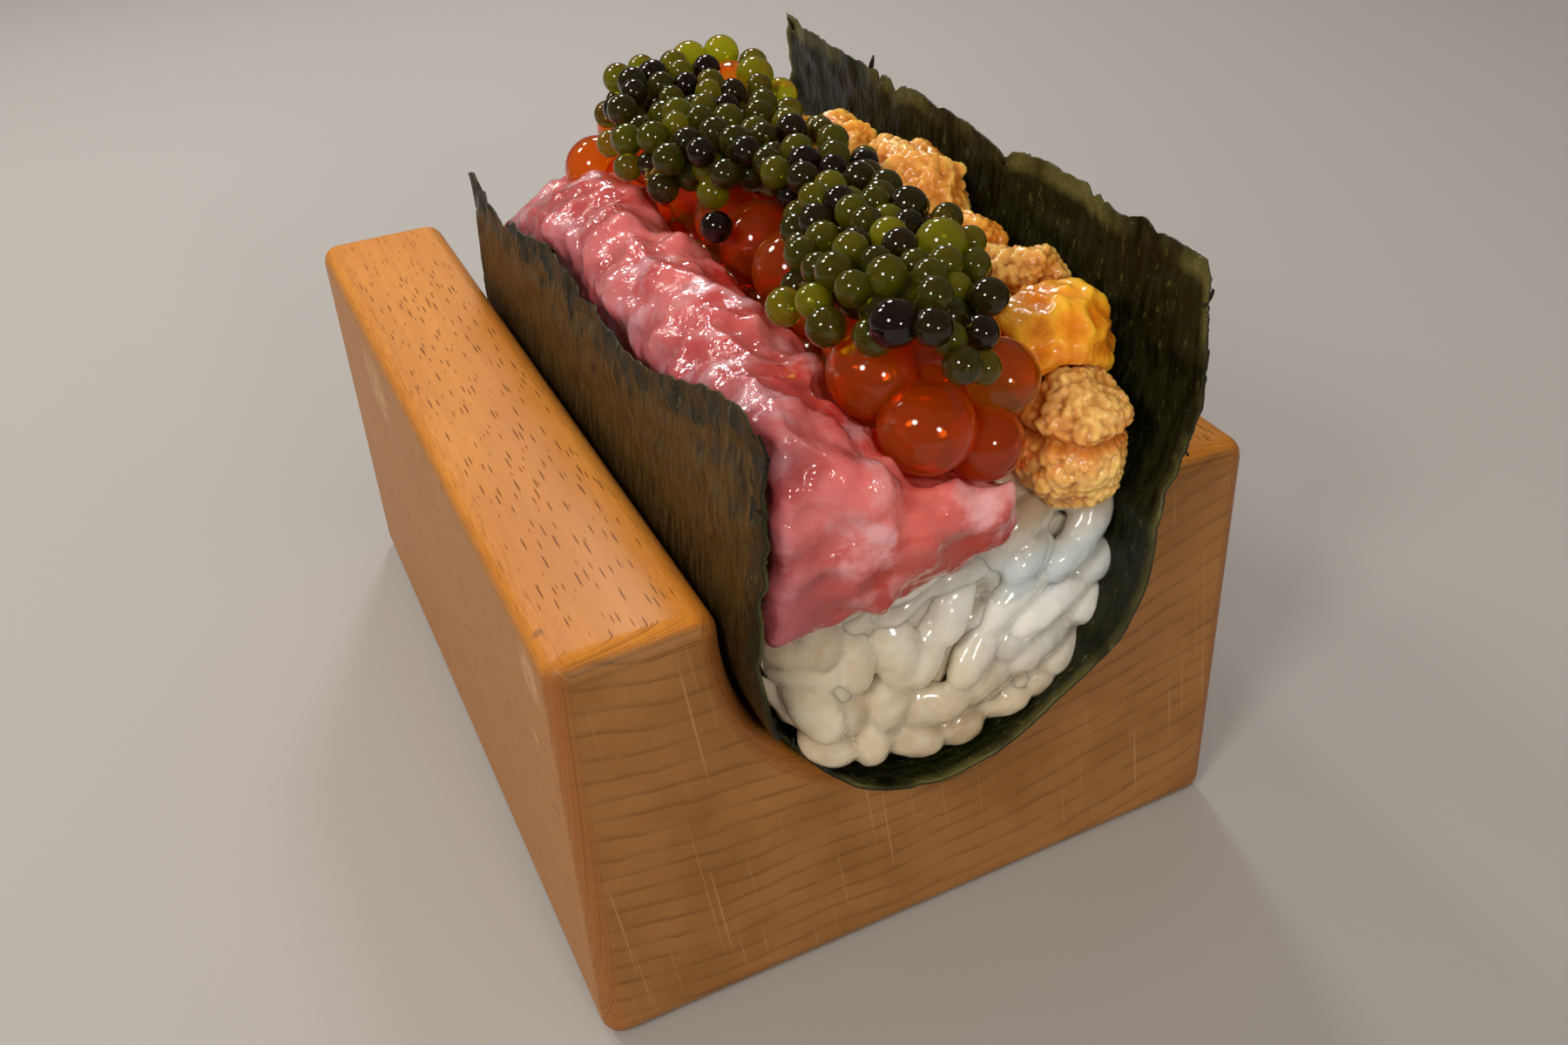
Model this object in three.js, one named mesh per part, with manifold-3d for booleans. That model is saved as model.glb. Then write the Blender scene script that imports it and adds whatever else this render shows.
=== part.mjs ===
// An open temaki hand roll standing in a small beech holder. A U of toasted nori holds rice,
// minced fatty tuna, salmon roe, dark caviar pearls and lobes of sea urchin.
// Millimetres. X runs across the channel, Y along it and Z up; the roll's open front faces -Y.
// The origin is the centre of the holder's underside.
import * as THREE from 'three';
import { mergeVertices } from 'three/addons/utils/BufferGeometryUtils.js';
import Module from 'manifold-3d';

// ---- driving dimensions -------------------------------------------------------------------
const GAP = 0.35;                       // clearance between touching pieces
const HOLDER = { width: 60, length: 81.2, height: 39.3, edge: 1.8 };
const CHANNEL = { halfWidth: 17, depth: 21.9 };
const NORI = {
  thickness: 0.6, front: -46, back: 24, leftTop: 51, rightTop: 59.6,
  leftLean: 0.9, rightLean: 3.4, leanFrom: 38.6, wave: 0.45,
};
const RICE = { front: -40.2, back: 21.5, top: 38, rearTop: 46, rearFrom: -34, shoulder: 34 };
const GRAIN = { length: 7.2, width: 3.3, depth: 2.8 };
const TUNA = { front: -45.4, back: 22.4, bottom: 38.6, right: -3.5, lobeRight: 4.9, lobeEnd: -37.4 };
const ROE = { front: -36.5, back: 21.5, left: -2.0, right: 7.2, bottom: 38.4, top: 52.4 };
const ROE_RADIUS = 3.35;
const CAVIAR_RADIUS = 1.95;

// Heights and widths that several pieces share.
const CHANNEL_CENTRE = HOLDER.height - HOLDER.edge;
const NORI_HALF = CHANNEL.halfWidth - GAP - NORI.thickness / 2;
const NORI_DROP = CHANNEL.depth - HOLDER.edge - GAP - NORI.thickness / 2;

// ---- small tools ----------------------------------------------------------------------------
const wasm = await Module();
wasm.setup();

const mix = (a, b, t) => a + (b - a) * t;
const smooth = (a, b, x) => {
  const t = THREE.MathUtils.clamp((x - a) / (b - a), 0, 1);
  return t * t * (3 - 2 * t);
};
const hump = (x, centre, width) => Math.exp(-(((x - centre) / width) ** 2));

function makeRandom(seed) {
  let state = seed;
  return () => {
    state = (state + 0x6d2b79f5) | 0;
    let t = Math.imul(state ^ (state >>> 15), 1 | state);
    t = (t + Math.imul(t ^ (t >>> 7), 61 | t)) ^ t;
    return ((t ^ (t >>> 14)) >>> 0) / 4294967296;
  };
}

// Value noise between -1 and 1 on a unit lattice.
function noise(x, y, z) {
  const cell = (i, j, k) => {
    const h = Math.sin(i * 127.1 + j * 311.7 + k * 74.7) * 43758.5453;
    return 2 * (h - Math.floor(h)) - 1;
  };
  const [i, j, k] = [x, y, z].map(Math.floor);
  const [u, v, w] = [x - i, y - j, z - k].map((t) => t * t * (3 - 2 * t));
  const row = (b, c) => mix(cell(i, j + b, k + c), cell(i + 1, j + b, k + c), u);
  return mix(mix(row(0, 0), row(1, 0), v), mix(row(0, 1), row(1, 1), v), w);
}

// A closed skin through rings of points: neighbouring rings are joined and both ends are capped.
function ringSkin(rings) {
  const size = rings[0].length;
  const points = rings.flat();
  const faces = [];
  for (let i = 0; i + 1 < rings.length; i++) {
    for (let j = 0; j < size; j++) {
      const a = i * size + j;
      const b = i * size + ((j + 1) % size);
      faces.push(a, b, b + size, a, b + size, a + size);
    }
  }
  for (const [ring, start] of [[rings[0], 0], [rings.at(-1), (rings.length - 1) * size]]) {
    const centre = points.length;
    points.push(ring.reduce((sum, p) => sum.add(p), new THREE.Vector3()).divideScalar(size));
    for (let j = 0; j < size; j++) {
      const pair = [start + j, start + ((j + 1) % size)];
      faces.push(centre, ...(start ? pair : pair.reverse()));
    }
  }
  return indexed(points, faces);
}

function indexed(points, faces) {
  const geometry = new THREE.BufferGeometry().setFromPoints(points);
  geometry.setIndex(faces);
  return geometry;
}

// A closed mesh as a solid that can be joined and cut, turned right side out.
function solidOf(geometry) {
  const bare = geometry.clone();
  bare.deleteAttribute('normal');
  bare.deleteAttribute('uv');
  const merged = mergeVertices(bare, 1e-5);
  const triVerts = Uint32Array.from(merged.index.array);
  const solid = new wasm.Manifold(new wasm.Mesh({
    numProp: 3, vertProperties: merged.attributes.position.array, triVerts,
  }));
  if (solid.volume() > 0) return solid;
  triVerts.reverse();
  return new wasm.Manifold(new wasm.Mesh({
    numProp: 3, vertProperties: merged.attributes.position.array, triVerts,
  }));
}

// The largest single body of a solid, as a geometry: loose scraps and sealed hollows go.
function geometryOf(solid) {
  const body = solid.decompose().sort((a, b) => b.volume() - a.volume())[0];
  const mesh = body.getMesh();
  const geometry = new THREE.BufferGeometry();
  geometry.setAttribute('position', new THREE.BufferAttribute(Float32Array.from(mesh.vertProperties), 3));
  geometry.setIndex(Array.from(mesh.triVerts));
  return geometry;
}

// Small pieces fused onto a core. A piece that would reach into a neighbour is left out: its
// grown form, wider by the gap, may share no more than a scrap of volume with it.
const SCRAP = 0.02;

function fuse(core, pieces, neighbours) {
  const clear = pieces.filter(({ grown }) => neighbours.every((n) => n.intersect(grown).volume() < SCRAP));
  const join = (key) => wasm.Manifold.union([core, ...clear].map((part) => part[key]));
  return { piece: join('piece'), grown: join('grown') };
}

// ---- holder: a block with rounded edges and a round-bottomed channel right along it ---------
function arc(cx, cz, rx, rz, from, to, steps) {
  return Array.from({ length: steps + 1 }, (_, i) => {
    const angle = mix(from, to, i / steps);
    return new THREE.Vector2(cx + rx * Math.cos(angle), cz + rz * Math.sin(angle));
  });
}

function holder() {
  const { width, length, height, edge } = HOLDER;
  const corner = 0.25;                  // what is left of a rounded corner inside the bevel
  const bevel = edge - corner;
  const [x, z, r] = [width / 2 - edge, edge, corner];
  const half = CHANNEL.halfWidth + bevel;
  const drop = CHANNEL.depth - edge + bevel;
  const quarter = Math.PI / 2;
  const outline = [
    ...arc(-x, z, r, r, 2 * quarter, 3 * quarter, 3),
    ...arc(x, z, r, r, -quarter, 0, 3),
    ...arc(x, height - z, r, r, 0, quarter, 3),
    ...arc(half + r, CHANNEL_CENTRE, r, r, quarter, 2 * quarter, 3),
    ...arc(0, CHANNEL_CENTRE, half, drop, 0, -2 * quarter, 22).slice(1, -1),
    ...arc(-half - r, CHANNEL_CENTRE, r, r, 0, quarter, 3),
    ...arc(-x, height - z, r, r, quarter, 2 * quarter, 3),
  ];
  const block = new THREE.ExtrudeGeometry(new THREE.Shape(outline), {
    depth: length - 2 * bevel, steps: 1,
    bevelEnabled: true, bevelThickness: bevel, bevelSize: bevel, bevelSegments: 2,
  });
  return block.rotateX(quarter).translate(0, length / 2 - bevel, 0);
}

// ---- nori: one thin sheet bent into a U, with ragged, wavy edges -----------------------------
// The sheet's section: u runs from the left wall's top (0) through the bowl to the right
// wall's top (1). The left wall leans in a little and the right wall leans out.
const [BOWL_START, BOWL_END] = [0.3, 0.64];
const lean = (z, reach) => 1 - Math.exp(Math.min(NORI.leanFrom - z, 0) / reach);
const leftWallX = (z) => -NORI_HALF + NORI.leftLean * lean(z, 8);
const rightWallX = (z) => NORI_HALF + NORI.rightLean * lean(z, 6);

function noriTop(u, y) {
  if (u < 0.5) {
    const rise = 6.3 * smooth(-20, NORI.front, y);
    return NORI.leftTop + rise - 2.2 * hump(y, 14, 7) - hump(y, 25, 3) + 0.5 * noise(y * 0.35, 2, 5);
  }
  return NORI.rightTop + 0.7 * noise(y * 0.3, 7, 1) + 1.1 * hump(y, 24, 4) - 0.8 * hump(y, -16, 4);
}

function noriSection(u, y) {
  if (u < BOWL_START) {
    const z = mix(noriTop(u, y), CHANNEL_CENTRE, u / BOWL_START);
    return [leftWallX(z), z];
  }
  if (u > BOWL_END) {
    const z = mix(CHANNEL_CENTRE, noriTop(u, y), (u - BOWL_END) / (1 - BOWL_END));
    return [rightWallX(z), z];
  }
  const angle = Math.PI * (u - BOWL_START) / (BOWL_END - BOWL_START);
  return [-NORI_HALF * Math.cos(angle), CHANNEL_CENTRE - NORI_DROP * Math.sin(angle)];
}

function noriFront(u) {
  const bowl = smooth(0.33, 0.38, u) * smooth(0.61, 0.53, u);
  return NORI.front + 3.8 * hump(u, 0.372, 0.024) + 2.7 * bowl + 0.4 * noise(u * 17, 3, 3);
}

function noriBack(u) {
  return NORI.back + 0.8 * noise(u * 11, 9, 2);
}

function nori() {
  const [across, along] = [34, 15];
  const points = [];
  for (const side of [-1, 1]) {
    for (let j = 0; j <= along; j++) {
      for (let i = 0; i <= across; i++) {
        const u = i / across;
        const y = mix(noriFront(u), noriBack(u), j / along);
        const [x, z] = noriSection(u, y);
        const [xa, za] = noriSection(Math.max(u - 0.004, 0), y);
        const [xb, zb] = noriSection(Math.min(u + 0.004, 1), y);
        const slope = Math.hypot(xb - xa, zb - za);
        const [nx, nz] = [(zb - za) / slope, (xa - xb) / slope];
        const free = smooth(HOLDER.height, HOLDER.height + 8, z);
        const offset = side * NORI.thickness / 2 + free * NORI.wave * noise(y * 0.13, z * 0.15, u * 4);
        points.push(new THREE.Vector3(x + offset * nx, y, z + offset * nz));
      }
    }
  }
  const row = across + 1;
  const layer = row * (along + 1);
  const faces = [];
  const quad = (a, b, c, d) => faces.push(a, b, c, a, c, d);
  for (let j = 0; j < along; j++) {
    for (let i = 0; i < across; i++) {
      const [a, b, c, d] = [j * row + i, j * row + i + 1, (j + 1) * row + i + 1, (j + 1) * row + i];
      faces.push(a, b, c, a, c, d, a + layer, c + layer, b + layer, a + layer, d + layer, c + layer);
    }
  }
  for (let i = 0; i < across; i++) {
    const end = along * row + i;
    quad(i + 1, i, i + layer, i + 1 + layer);
    quad(end, end + 1, end + 1 + layer, end + layer);
  }
  for (let j = 0; j < along; j++) {
    const [near, far] = [j * row, (j + 1) * row];
    quad(near, far, far + layer, near + layer);
    quad(far + across, near + across, near + across + layer, far + across + layer);
  }
  return indexed(points, faces);
}

// ---- rice: a packed bed in the bottom of the U, with whole grains showing at its ends --------
const rearRise = (y) => smooth(RICE.rearFrom - 1, RICE.rearFrom, y);

function riceCore() {
  const clear = NORI.thickness / 2 + GAP;
  const [half, drop] = [NORI_HALF - clear, NORI_DROP - clear];
  const ring = (y) => {
    const rise = rearRise(y) * (RICE.rearTop - RICE.top);
    const bowl = arc(0, CHANNEL_CENTRE, half, drop, -Math.PI, -0.18, 16);
    const shoulder = new THREE.Vector2(half - 0.3, mix(RICE.shoulder + 2, RICE.rearTop - 1.5, rearRise(y)));
    const top = [[12, rise], [9, rise], [7.8, 0], [0, 0], [-8, 0], [-half + 0.1, 0]];
    return [...bowl, shoulder, ...top.map(([x, up]) => new THREE.Vector2(x, RICE.top + up))];
  };
  const stations = [RICE.front, RICE.rearFrom - 1, RICE.rearFrom, -10, 6, RICE.back];
  return ringSkin(stations.map((y) => ring(y).map((p) => new THREE.Vector3(p.x, y, p.y))));
}

function grain(position, lean, turn) {
  const shape = new THREE.SphereGeometry(0.5, 6, 3).rotateZ(Math.PI / 2);
  const place = new THREE.Matrix4().compose(
    position, new THREE.Quaternion().setFromEuler(new THREE.Euler(turn, lean, 0, 'YXZ')),
    new THREE.Vector3(GRAIN.length, GRAIN.depth, GRAIN.width),
  );
  const grown = new THREE.Matrix4().makeScale(1.15, 1.15, 1.15);
  return {
    piece: solidOf(shape.clone().applyMatrix4(place)),
    grown: solidOf(shape.applyMatrix4(grown).applyMatrix4(place)),
  };
}

// Grains are laid over an end face on a loose brick pattern, upright at the left and leaning
// over towards the right. They stay inside the U and below the tuna.
function riceGrains(y, facing, seed) {
  const random = makeRandom(seed);
  const [stepX, stepZ] = [GRAIN.length * 0.68, GRAIN.width * 0.92];
  const floor = CHANNEL_CENTRE - NORI_DROP + 2.4;
  const [bowlHalf, bowlDrop] = [0.93 * (NORI_HALF - 1), 0.93 * (NORI_DROP - 1)];
  const grains = [];
  for (let row = 0; row < 8; row++) {
    for (let column = -4; column <= 4; column++) {
      const x = (column + 0.5 * (row % 2) + 0.3 * (random() - 0.5)) * stepX;
      const z = floor + (row + 0.4 * (random() - 0.5)) * stepZ;
      const lean = mix(1.35, 0.15, smooth(-12, 6, x)) + 0.5 * (random() - 0.5);
      const place = new THREE.Vector3(x, y - facing * (0.3 + 1.1 * random()), z);
      const turn = 0.5 * (random() - 0.5);
      const inBowl = Math.hypot(x / bowlHalf, Math.min(z - CHANNEL_CENTRE, 0) / bowlDrop) < 1;
      if (inBowl) grains.push(grain(place, -lean, turn));
    }
  }
  return grains;
}

// ---- tuna: a long ridge of mince on the left, with a lobe across the open front -------------
function tunaRight(y) {
  return mix(TUNA.lobeRight, TUNA.right, smooth(-41, TUNA.lobeEnd, y)) + 0.5 * noise(y * 0.2, 4, 4);
}

function tunaTop(x, y) {
  const ridge = 52.2 + 2.4 * hump(x, -9.5, 5) + 2.2 * smooth(-25, -42, y) * smooth(-8, -14, x);
  const lobe = mix(51, 46.6, smooth(-9, 2, x));
  const forward = smooth(-37, -42, y) * smooth(-13, -6, x);
  const fall = smooth(4, 24, y) * mix(7.5, 3.5, smooth(-13, -4, x));
  return mix(ridge, lobe, forward) - fall;
}

function tunaBottom(x, y) {
  return TUNA.bottom - 1.8 * smooth(-42.6, -43.6, y) * hump(x, -9.5, 5);
}

// The ridge's section at y, as points that run round it from its lower left corner.
function tunaSection(y) {
  const [bottomSteps, rightSteps, topSteps, leftSteps] = [5, 5, 11, 5];
  const right = tunaRight(y);
  const wall = (z) => (z > CHANNEL_CENTRE ? leftWallX(z) : -NORI_HALF) + NORI.thickness / 2 + GAP + 0.5;
  const rightTop = tunaTop(right, y) - 0.9;
  const leftTop = tunaTop(wall(50), y) - 1.2;
  const path = [];
  for (let i = 0; i < bottomSteps; i++) {
    const x = mix(wall(39), right - 0.6, i / bottomSteps);
    path.push([x, tunaBottom(x, y)]);
  }
  for (let i = 0; i < rightSteps; i++) {
    const t = i / rightSteps;
    path.push([right - 0.6 + 0.9 * Math.sin(Math.PI * t), mix(TUNA.bottom, rightTop, t)]);
  }
  for (let i = 0; i < topSteps; i++) {
    const x = mix(right - 0.5, wall(51) + 0.4, i / (topSteps - 1));
    path.push([x, tunaTop(x, y) - 0.9 * hump(i, 0, 1) - 0.9 * hump(i, topSteps - 1, 1)]);
  }
  for (let i = 0; i < leftSteps; i++) {
    const z = mix(leftTop, TUNA.bottom, (i + 0.4) / leftSteps);
    path.push([wall(z), z]);
  }
  return path;
}

function tuna() {
  const length = 23;
  const ring = (y, shrink) => {
    const middle = [mix(-15, tunaRight(y), 0.5), 45];
    return tunaSection(y).map(([x, z]) => {
      const lump = 0.8 * noise(x * 0.3, y * 0.3, z * 0.3) + 0.5 * noise(x * 0.7, y * 0.7 + 9, z * 0.7);
      const open = smooth(TUNA.bottom + 3, TUNA.bottom + 7, z) * smooth(-15.2, -13, x);
      const front = smooth(-43, -45, y);
      return new THREE.Vector3(
        mix(middle[0], x + 0.5 * lump * open, shrink),
        y + 0.4 * lump * front,
        mix(middle[1], z + lump * open * (1 - 0.6 * front), shrink),
      );
    });
  };
  const cap = [[0, 0.4], [0.15, 0.75], [0.6, 0.9], [1.4, 0.97]];
  const [first, last] = [TUNA.front + 2.4, TUNA.back - 2.4];
  return ringSkin([
    ...cap.map(([depth, shrink]) => ring(TUNA.front + depth, shrink)),
    ...Array.from({ length: length + 1 }, (_, i) => ring(mix(first, last, i / length), 1)),
    ...cap.reverse().map(([depth, shrink]) => ring(TUNA.back - depth, shrink)),
  ]);
}

// ---- sea urchin: bumpy lobes along the right wall --------------------------------------------
// Each lobe: its centre, its half sizes, its turn about Y and Z, and how deep its bumps are.
const UNI = [
  { at: [12.2, -40.8, 45.0], half: [4.2, 4.0, 5.6], lean: 0.1, turn: 0, bumps: 0.55 },
  { at: [12.9, -36.2, 51.2], half: [5.0, 4.4, 3.9], lean: -0.2, turn: 0.1, bumps: 0.3 },
  { at: [13.9, -28.0, 52.4], half: [5.0, 2.7, 2.7], lean: -0.15, turn: -0.45, bumps: 0.5 },
  { at: [14.2, -22.2, 53.2], half: [3.0, 2.4, 2.7], lean: 0, turn: -0.3, bumps: 0.4 },
  { at: [14.0, -12.4, 54.0], half: [4.6, 6.4, 4.7], lean: -0.2, turn: -0.15, bumps: 0.4 },
  { at: [14.2, 1.6, 53.2], half: [3.8, 6.4, 3.6], lean: 0, turn: 0, bumps: 0.45 },
  { at: [13.6, 13.8, 50.4], half: [3.8, 5.6, 3.5], lean: 0, turn: 0.1, bumps: 0.5 },
];

function uniLobe({ at, half, lean, turn, bumps }, index) {
  const faceted = new THREE.IcosahedronGeometry(1, 2);
  const lobe = mergeVertices(faceted.deleteAttribute('normal').deleteAttribute('uv'));
  const position = lobe.attributes.position;
  const p = new THREE.Vector3();
  const squareness = 0.12;
  for (let i = 0; i < position.count; i++) {
    p.fromBufferAttribute(position, i);
    const corner = 1 + squareness * (Math.abs(p.x) + Math.abs(p.y) + Math.abs(p.z) - 1);
    const bump = 1 + (bumps / 4) * noise(p.x * 2.6 + index * 7, p.y * 2.6, p.z * 2.6);
    p.multiplyScalar(corner * bump);
    position.setXYZ(i, p.x * half[0], p.y * half[1], p.z * half[2]);
  }
  return lobe.rotateY(lean).rotateZ(turn).translate(...at);
}

// ---- salmon roe: large soft balls over a core in the middle of the roll ----------------------
function ball(x, y, z, radius, detail) {
  const make = (r) => solidOf(new THREE.IcosahedronGeometry(r, detail).rotateX(x + y).translate(x, y, z));
  return { piece: make(radius), grown: make(radius + GAP) };
}

function roeCore(pad) {
  const [left, right] = [ROE.left - pad, ROE.right + pad];
  const [bottom, top] = [ROE.bottom - pad, ROE.top + pad];
  const outline = [
    [left, bottom], [right, bottom], [right, top - 1.5], [right - 2, top],
    [left + 2, top], [left, top - 1.5],
  ];
  const stations = [ROE.front - pad, ROE.back + pad];
  return ringSkin(stations.map((y) => outline.map(([x, z]) => new THREE.Vector3(x, y, z))));
}

// Balls with a place of their own: on the tuna's lobe at the front, and two at the far end. The
// rest lie in uneven rows over the core and on its far face.
const LOOSE_ROE = [
  [-1.0, -41.4, 50.4, 3.5], [-2.9, -37.0, 53.2, 3.4], [5.6, -40.3, 51.9, 2.95], [3.6, -41.6, 47.9, 3.0],
  [1.9, -36.4, 53.6, 3.4], [8.0, 12.0, 57.2, 3.3], [-4.4, 18.4, 50.2, 3.2],
];

function roeBalls() {
  const random = makeRandom(5);
  const jitter = () => 1.4 * (random() - 0.5);
  const places = [];
  for (let y = ROE.front + 6; y < ROE.back; y += ROE_RADIUS * 2.05) places.push([0.2, y, ROE.top]);
  for (const y of [-27, -17, 2, 11.5]) places.push([6.3, y, ROE.top]);
  for (const [x, z] of [[0.4, 42], [5.2, 42.6], [0.4, 48], [5.4, 48.8]]) places.push([x, ROE.back - 1.4, z]);
  return [
    ...LOOSE_ROE.map(([x, y, z, radius]) => ball(x, y, z, radius, 1)),
    ...places.map(([x, y, z]) => ball(x + 0.5 * jitter(), y + jitter(), z + 0.5 * jitter(), ROE_RADIUS, 1)),
  ];
}

// ---- caviar: a winding heap of small pearls on top of the roe --------------------------------
// The heap's middle line and its half width at each point.
const CAVIAR_LINE = [
  [2.6, 15, 58.4, 4.6], [0.2, 7, 57.8, 6.4], [-0.6, -1, 57, 6.4], [1.6, -8, 57, 5.4],
  [4.6, -14, 57, 3.6], [2.2, -20.5, 56.8, 2.2], [1.6, -25, 57, 3.4], [0.8, -29.5, 57.2, 5.2],
  [0.0, -34, 57.2, 5.4], [-0.2, -38.5, 57, 3.2], [0.4, -42, 55.8, 1.2],
];

function caviarLine() {
  const curve = new THREE.CatmullRomCurve3(CAVIAR_LINE.map(([x, y, z]) => new THREE.Vector3(x, y, z)));
  const width = (t) => {
    const place = t * (CAVIAR_LINE.length - 1);
    const i = Math.min(Math.floor(place), CAVIAR_LINE.length - 2);
    return mix(CAVIAR_LINE[i][3], CAVIAR_LINE[i + 1][3], place - i);
  };
  return { curve, width };
}

function caviarCore() {
  const { curve, width } = caviarLine();
  const [length, around] = [12, 6];
  return ringSkin(Array.from({ length: length + 1 }, (_, i) => {
    const t = i / length;
    const centre = curve.getPoint(t);
    return Array.from({ length: around }, (_, j) => {
      const angle = 2 * Math.PI * j / around;
      const [dx, dz] = [width(t) * 0.85 * Math.cos(angle), 1.3 * Math.sin(angle)];
      return new THREE.Vector3(centre.x + dx, centre.y, centre.z + dz);
    });
  }));
}

function caviarPearls() {
  const { curve, width } = caviarLine();
  const random = makeRandom(23);
  const pearls = [];
  const dome = 1.9;                     // how far the heap's middle stands above its edges
  const rows = Math.round(curve.getLength() / (CAVIAR_RADIUS * 1.75));
  for (let i = 0; i <= rows; i++) {
    const t = i / rows;
    const centre = curve.getPoint(t);
    const columns = Math.max(1, Math.round(2 * width(t) / (CAVIAR_RADIUS * 1.85)));
    for (let j = 0; j <= columns; j++) {
      const side = columns ? mix(-1, 1, (j + 0.5 * (i % 2)) / columns) : 0;
      const x = centre.x + side * width(t) + random() - 0.5;
      const z = centre.z + dome * Math.sqrt(Math.max(0, 1 - side * side)) + random() - 0.5;
      pearls.push(ball(x, centre.y + random() - 0.5, z, CAVIAR_RADIUS * mix(0.85, 1.08, random()), 0));
    }
  }
  return pearls;
}

// ---- the roll put together ---------------------------------------------------------------------
const LOOKS = {
  beech: { color: 0xb9783f, roughness: 0.5 },
  nori: { color: 0x2b2d1c, roughness: 0.55 },
  rice: { color: 0xe9e6dc, roughness: 0.3 },
  tuna: { color: 0xc4625c, roughness: 0.2 },
  roe: { color: 0xd2420c, roughness: 0.08 },
  caviar: { color: 0x3a3d12, roughness: 0.12 },
  uni: { color: 0xd8862a, roughness: 0.3 },
};

const temaki = new THREE.Group();

function addNode(name, look, geometry) {
  const flat = geometry.index ? geometry.toNonIndexed() : geometry;
  flat.computeVertexNormals();
  const mesh = new THREE.Mesh(flat, new THREE.MeshStandardMaterial({ ...LOOKS[look], metalness: 0 }));
  mesh.name = name;
  temaki.add(mesh);
}

const sheet = solidOf(nori());
const roeMiddle = { piece: solidOf(roeCore(0)), grown: solidOf(roeCore(GAP)) };
const mince = [roeMiddle, ...roeBalls()].reduce((solid, { grown }) => solid.subtract(grown), solidOf(tuna()));
const urchin = [];
const taken = [roeMiddle.grown];
for (const [index, lobe] of UNI.entries()) {
  const shape = (pad) => solidOf(uniLobe({ ...lobe, half: lobe.half.map((h) => h + pad) }, index));
  urchin.push(taken.reduce((solid, other) => solid.subtract(other), shape(0)));
  taken.push(shape(GAP));
}
const bed = { piece: solidOf(riceCore()), grown: solidOf(riceCore()) };
const roe = fuse(roeMiddle, roeBalls(), [mince, sheet, bed.piece, ...urchin]);
const endGrains = [...riceGrains(RICE.front, 1, 11), ...riceGrains(RICE.back, -1, 17)];
const rice = fuse(bed, endGrains, [mince, sheet, roe.piece, ...urchin]);
const heap = solidOf(caviarCore()).subtract(roe.grown);
const pearls = fuse({ piece: heap, grown: heap }, caviarPearls(), [mince, sheet, roe.piece, ...urchin]);

addNode('holder', 'beech', holder());
addNode('nori', 'nori', nori());
addNode('rice', 'rice', geometryOf(rice.piece));
addNode('tuna', 'tuna', geometryOf(mince));
addNode('salmon_roe', 'roe', geometryOf(roe.piece));
addNode('caviar', 'caviar', geometryOf(pearls.piece));
urchin.forEach((body, index) => addNode(`uni_${index + 1}`, 'uni', geometryOf(body)));

export default temaki;
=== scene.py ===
# %% [markdown]
# # An open hand roll in its wooden holder
# A temaki hand roll is a U of toasted seaweed filled with rice, minced fatty tuna, salmon roe,
# dark caviar and sea urchin. A small beech block holds it upright. The solid model gives every
# piece its place and size. This lesson gives each piece its fine surface and its finish.

# %% Load the solid model
import math

import bmesh
import bpy
import numpy as np
from mathutils import Euler, Matrix, Vector, kdtree, noise


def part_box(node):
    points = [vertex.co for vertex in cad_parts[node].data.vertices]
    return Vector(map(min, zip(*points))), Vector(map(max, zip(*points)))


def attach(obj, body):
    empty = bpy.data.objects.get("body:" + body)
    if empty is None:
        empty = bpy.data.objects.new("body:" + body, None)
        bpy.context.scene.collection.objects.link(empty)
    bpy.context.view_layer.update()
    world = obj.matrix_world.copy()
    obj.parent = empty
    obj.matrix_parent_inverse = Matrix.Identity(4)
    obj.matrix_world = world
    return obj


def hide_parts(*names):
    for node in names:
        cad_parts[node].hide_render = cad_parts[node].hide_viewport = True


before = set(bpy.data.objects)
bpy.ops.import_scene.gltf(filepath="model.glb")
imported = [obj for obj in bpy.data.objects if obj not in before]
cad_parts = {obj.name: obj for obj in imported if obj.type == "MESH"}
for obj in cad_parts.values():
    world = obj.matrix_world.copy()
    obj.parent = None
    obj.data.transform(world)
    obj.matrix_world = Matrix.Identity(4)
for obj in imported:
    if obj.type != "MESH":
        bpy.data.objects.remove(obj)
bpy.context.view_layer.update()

MM = 0.001                                # the solid model is in metres, this script counts in mm
print("solid pieces:", sorted(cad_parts))

# %% [markdown]
# ## The camera
# A camera has a place, a turn and a lens. This one looks down on the open end of the roll from
# the front left. The small shift slides the picture in its frame without changing the view.

# %% Place the camera
def new_object(name, data):
    """An object in the scene that holds a mesh, a lamp or a camera."""
    thing = bpy.data.objects.new(name, data)
    bpy.context.scene.collection.objects.link(thing)
    return thing

CAMERA_PLACE = (-44.64, -117.29, 103.64)  # mm
CAMERA_TURN = (57.734, 1.860, -26.910)    # degrees about X, Y and Z
CAMERA_LENS = 33.77                       # mm, on a sensor 36 mm wide
CAMERA_SHIFT = (-0.0333, -0.0444)         # in picture widths

camera = new_object("camera", bpy.data.cameras.new("camera"))
camera.location = Vector(CAMERA_PLACE) * MM
camera.rotation_euler = [math.radians(turn) for turn in CAMERA_TURN]
camera.data.sensor_fit = "HORIZONTAL"
camera.data.sensor_width = 36
camera.data.lens = CAMERA_LENS
camera.data.shift_x, camera.data.shift_y = CAMERA_SHIFT
camera.data.clip_start = 0.001
bpy.context.scene.camera = camera
print("camera distance to the roll in mm:", round(Vector(CAMERA_PLACE).length))

# %% [markdown]
# ## The table and the light
# Wet food shows its shape by small, sharp highlights, so three small lights stand behind the roll
# and two in front of it. A weak even sky and three very wide lights keep all sides readable. The
# wide ones aren't mirrored, so they draw no pale discs on the wet skins. The floor is a plain pale
# sheet that runs out of sight.

# %% Lay the floor
FLOOR_SIZE = 6.0                          # metres
FLOOR_COLOUR = (0.42, 0.41, 0.40, 1)

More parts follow.
